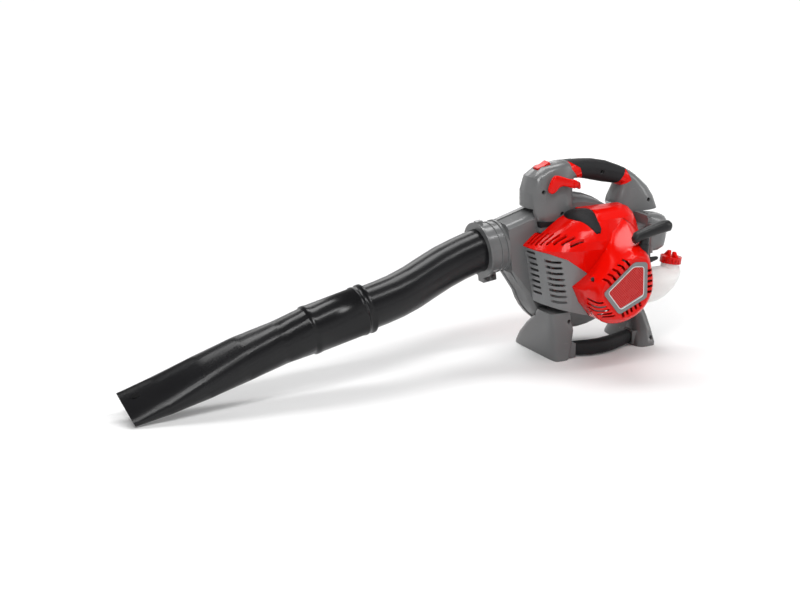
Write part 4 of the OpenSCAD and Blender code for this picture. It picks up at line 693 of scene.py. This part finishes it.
def make_nozzle():
    """The nozzle with its fishtail flattened and turned towards the engine side at the mouth."""
    form = copy_of("nozzle")
    for reach in FISHTAIL_RINGS:
        cut(form, SLEEVE_END + ALONG * (reach / 1000), ALONG)
    for point in form.verts:
        reach = (point.co - SLEEVE_END).dot(ALONG) * 1000
        if reach > FISHTAIL_START:
            middle, lifted, wide, tall, turned = fishtail(reach)
            away = point.co - middle
            back = mm(max(0, reach - DRAWN_BACK_FROM) / DRAWN_BACK_SHARE, 0, 0)
            point.co = lifted + turned @ Vector((away.x, away.y * wide, away.z * tall)) + back
    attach(stand_for("nozzle", form, crease=38), "nozzle")


def make_hang_hole():
    """Teardrop hanging hole near the nozzle's mouth, drawn as a thin near-black teardrop raised on
    the surface: painted shade that stands for the hole's dark inside.
    """
    _, middle, _, _, turned = fishtail(HOLE_REACH)
    up = turned @ Vector((-math.sin(SLOPE), 0, math.cos(SLOPE)))
    side = turned @ Vector((0, 1, 0))
    place = Matrix((ALONG, side, up)).transposed().to_4x4()
    place.translation = middle + side * 0.0105 + up * 0.0092
    form = bmesh.new()
    bmesh.ops.create_circle(form, cap_ends=True, segments=24, radius=HOLE_RADIUS)
    for point in form.verts:
        point.co.x = point.co.x * 1.25 + (0.004 if point.co.x > 0 else -0.002)
        if point.co.x < -0.004:
            point.co.y *= 0.55
    thicken(form, mm(0, 0, 0.7))
    bmesh.ops.transform(form, matrix=place, verts=form.verts)
    bmesh.ops.recalc_face_normals(form, faces=form.faces)
    add_piece("nozzle_hang_hole_painted_shade", form, "black_tube", MATERIALS["deep_pocket"], body="nozzle")


# ---------------------------------------------------------------- starter rope and pull grip

# In millimetres: where the rope leaves the housing, leaning back by 6 degrees
ROPE_X, ROPE_Y, ROPE_Z = CRANK_X + 45.5, -152, CRANK_Z + 47
ROPE_EXIT = mm(ROPE_X, ROPE_Y, ROPE_Z)
ROPE_WAY = Vector((math.sin(math.radians(6)), 0, math.cos(math.radians(6))))
# The length between housing and grip that draws out, in rings a millimetre apart
ROPE_DRAWN = 24
# Ahead of the rope: the grip's front end thickens from here, over this length
GRIP_THICKENS_FROM, GRIP_THICKENS_OVER = 7.5, 12.5


def make_starter_rope():
    """The starter's rope, held at the housing and drawn out straight behind the pull grip."""
    form = copy_of("starter_rope")
    for reach in range(1, ROPE_DRAWN):
        cut(form, ROPE_EXIT + ROPE_WAY * (reach / 1000), ROPE_WAY)
    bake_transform(stand_for("starter_rope", form, crease=50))


def make_starter_grip():
    """The pull grip, its front end thickened, rounded and dipped towards the stem."""
    form = copy_of("starter_grip")
    bmesh.ops.dissolve_limit(form, angle_limit=math.radians(0.5), verts=form.verts[:],
                             edges=form.edges[:])
    for point in form.verts:
        ahead = (ROPE_EXIT.x - point.co.x) * 1000
        share = (ahead - GRIP_THICKENS_FROM) / GRIP_THICKENS_OVER
        if share > 0:
            middle = mm(0, ROPE_Y, ROPE_Z + 36 - 0.15 * ahead)
            dip = 0.006 * share * share
            point.co.y = middle.y + (point.co.y - middle.y) * (1 + 0.6 * share)
            point.co.z = middle.z + (point.co.z - middle.z) * (1 + 0.75 * share) - dip
    front = min(form.faces, key=lambda face: face.calc_center_median().x)
    round_edges(form, front.edges[:], 0.0035, 5)
    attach(stand_for("starter_grip", form, crease=40), "pull_grip")


# ---------------------------------------------------------------- assembly

RESHAPED = {"cruise_lever", "throttle_trigger", "fuel_cap", "nozzle", "starter_rope",
            "starter_grip"}
make_camera()
make_lamps()
make_studio_air()
make_floor()
for node in sorted(NODES):
    if node not in RESHAPED:
        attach(soften(node), BODY_OF[node])
make_nozzle()
make_hang_hole()
make_starter_rope()
make_starter_grip()
make_cruise_lever()
make_trigger()
make_fuel_cap()
make_badge()
make_laps()
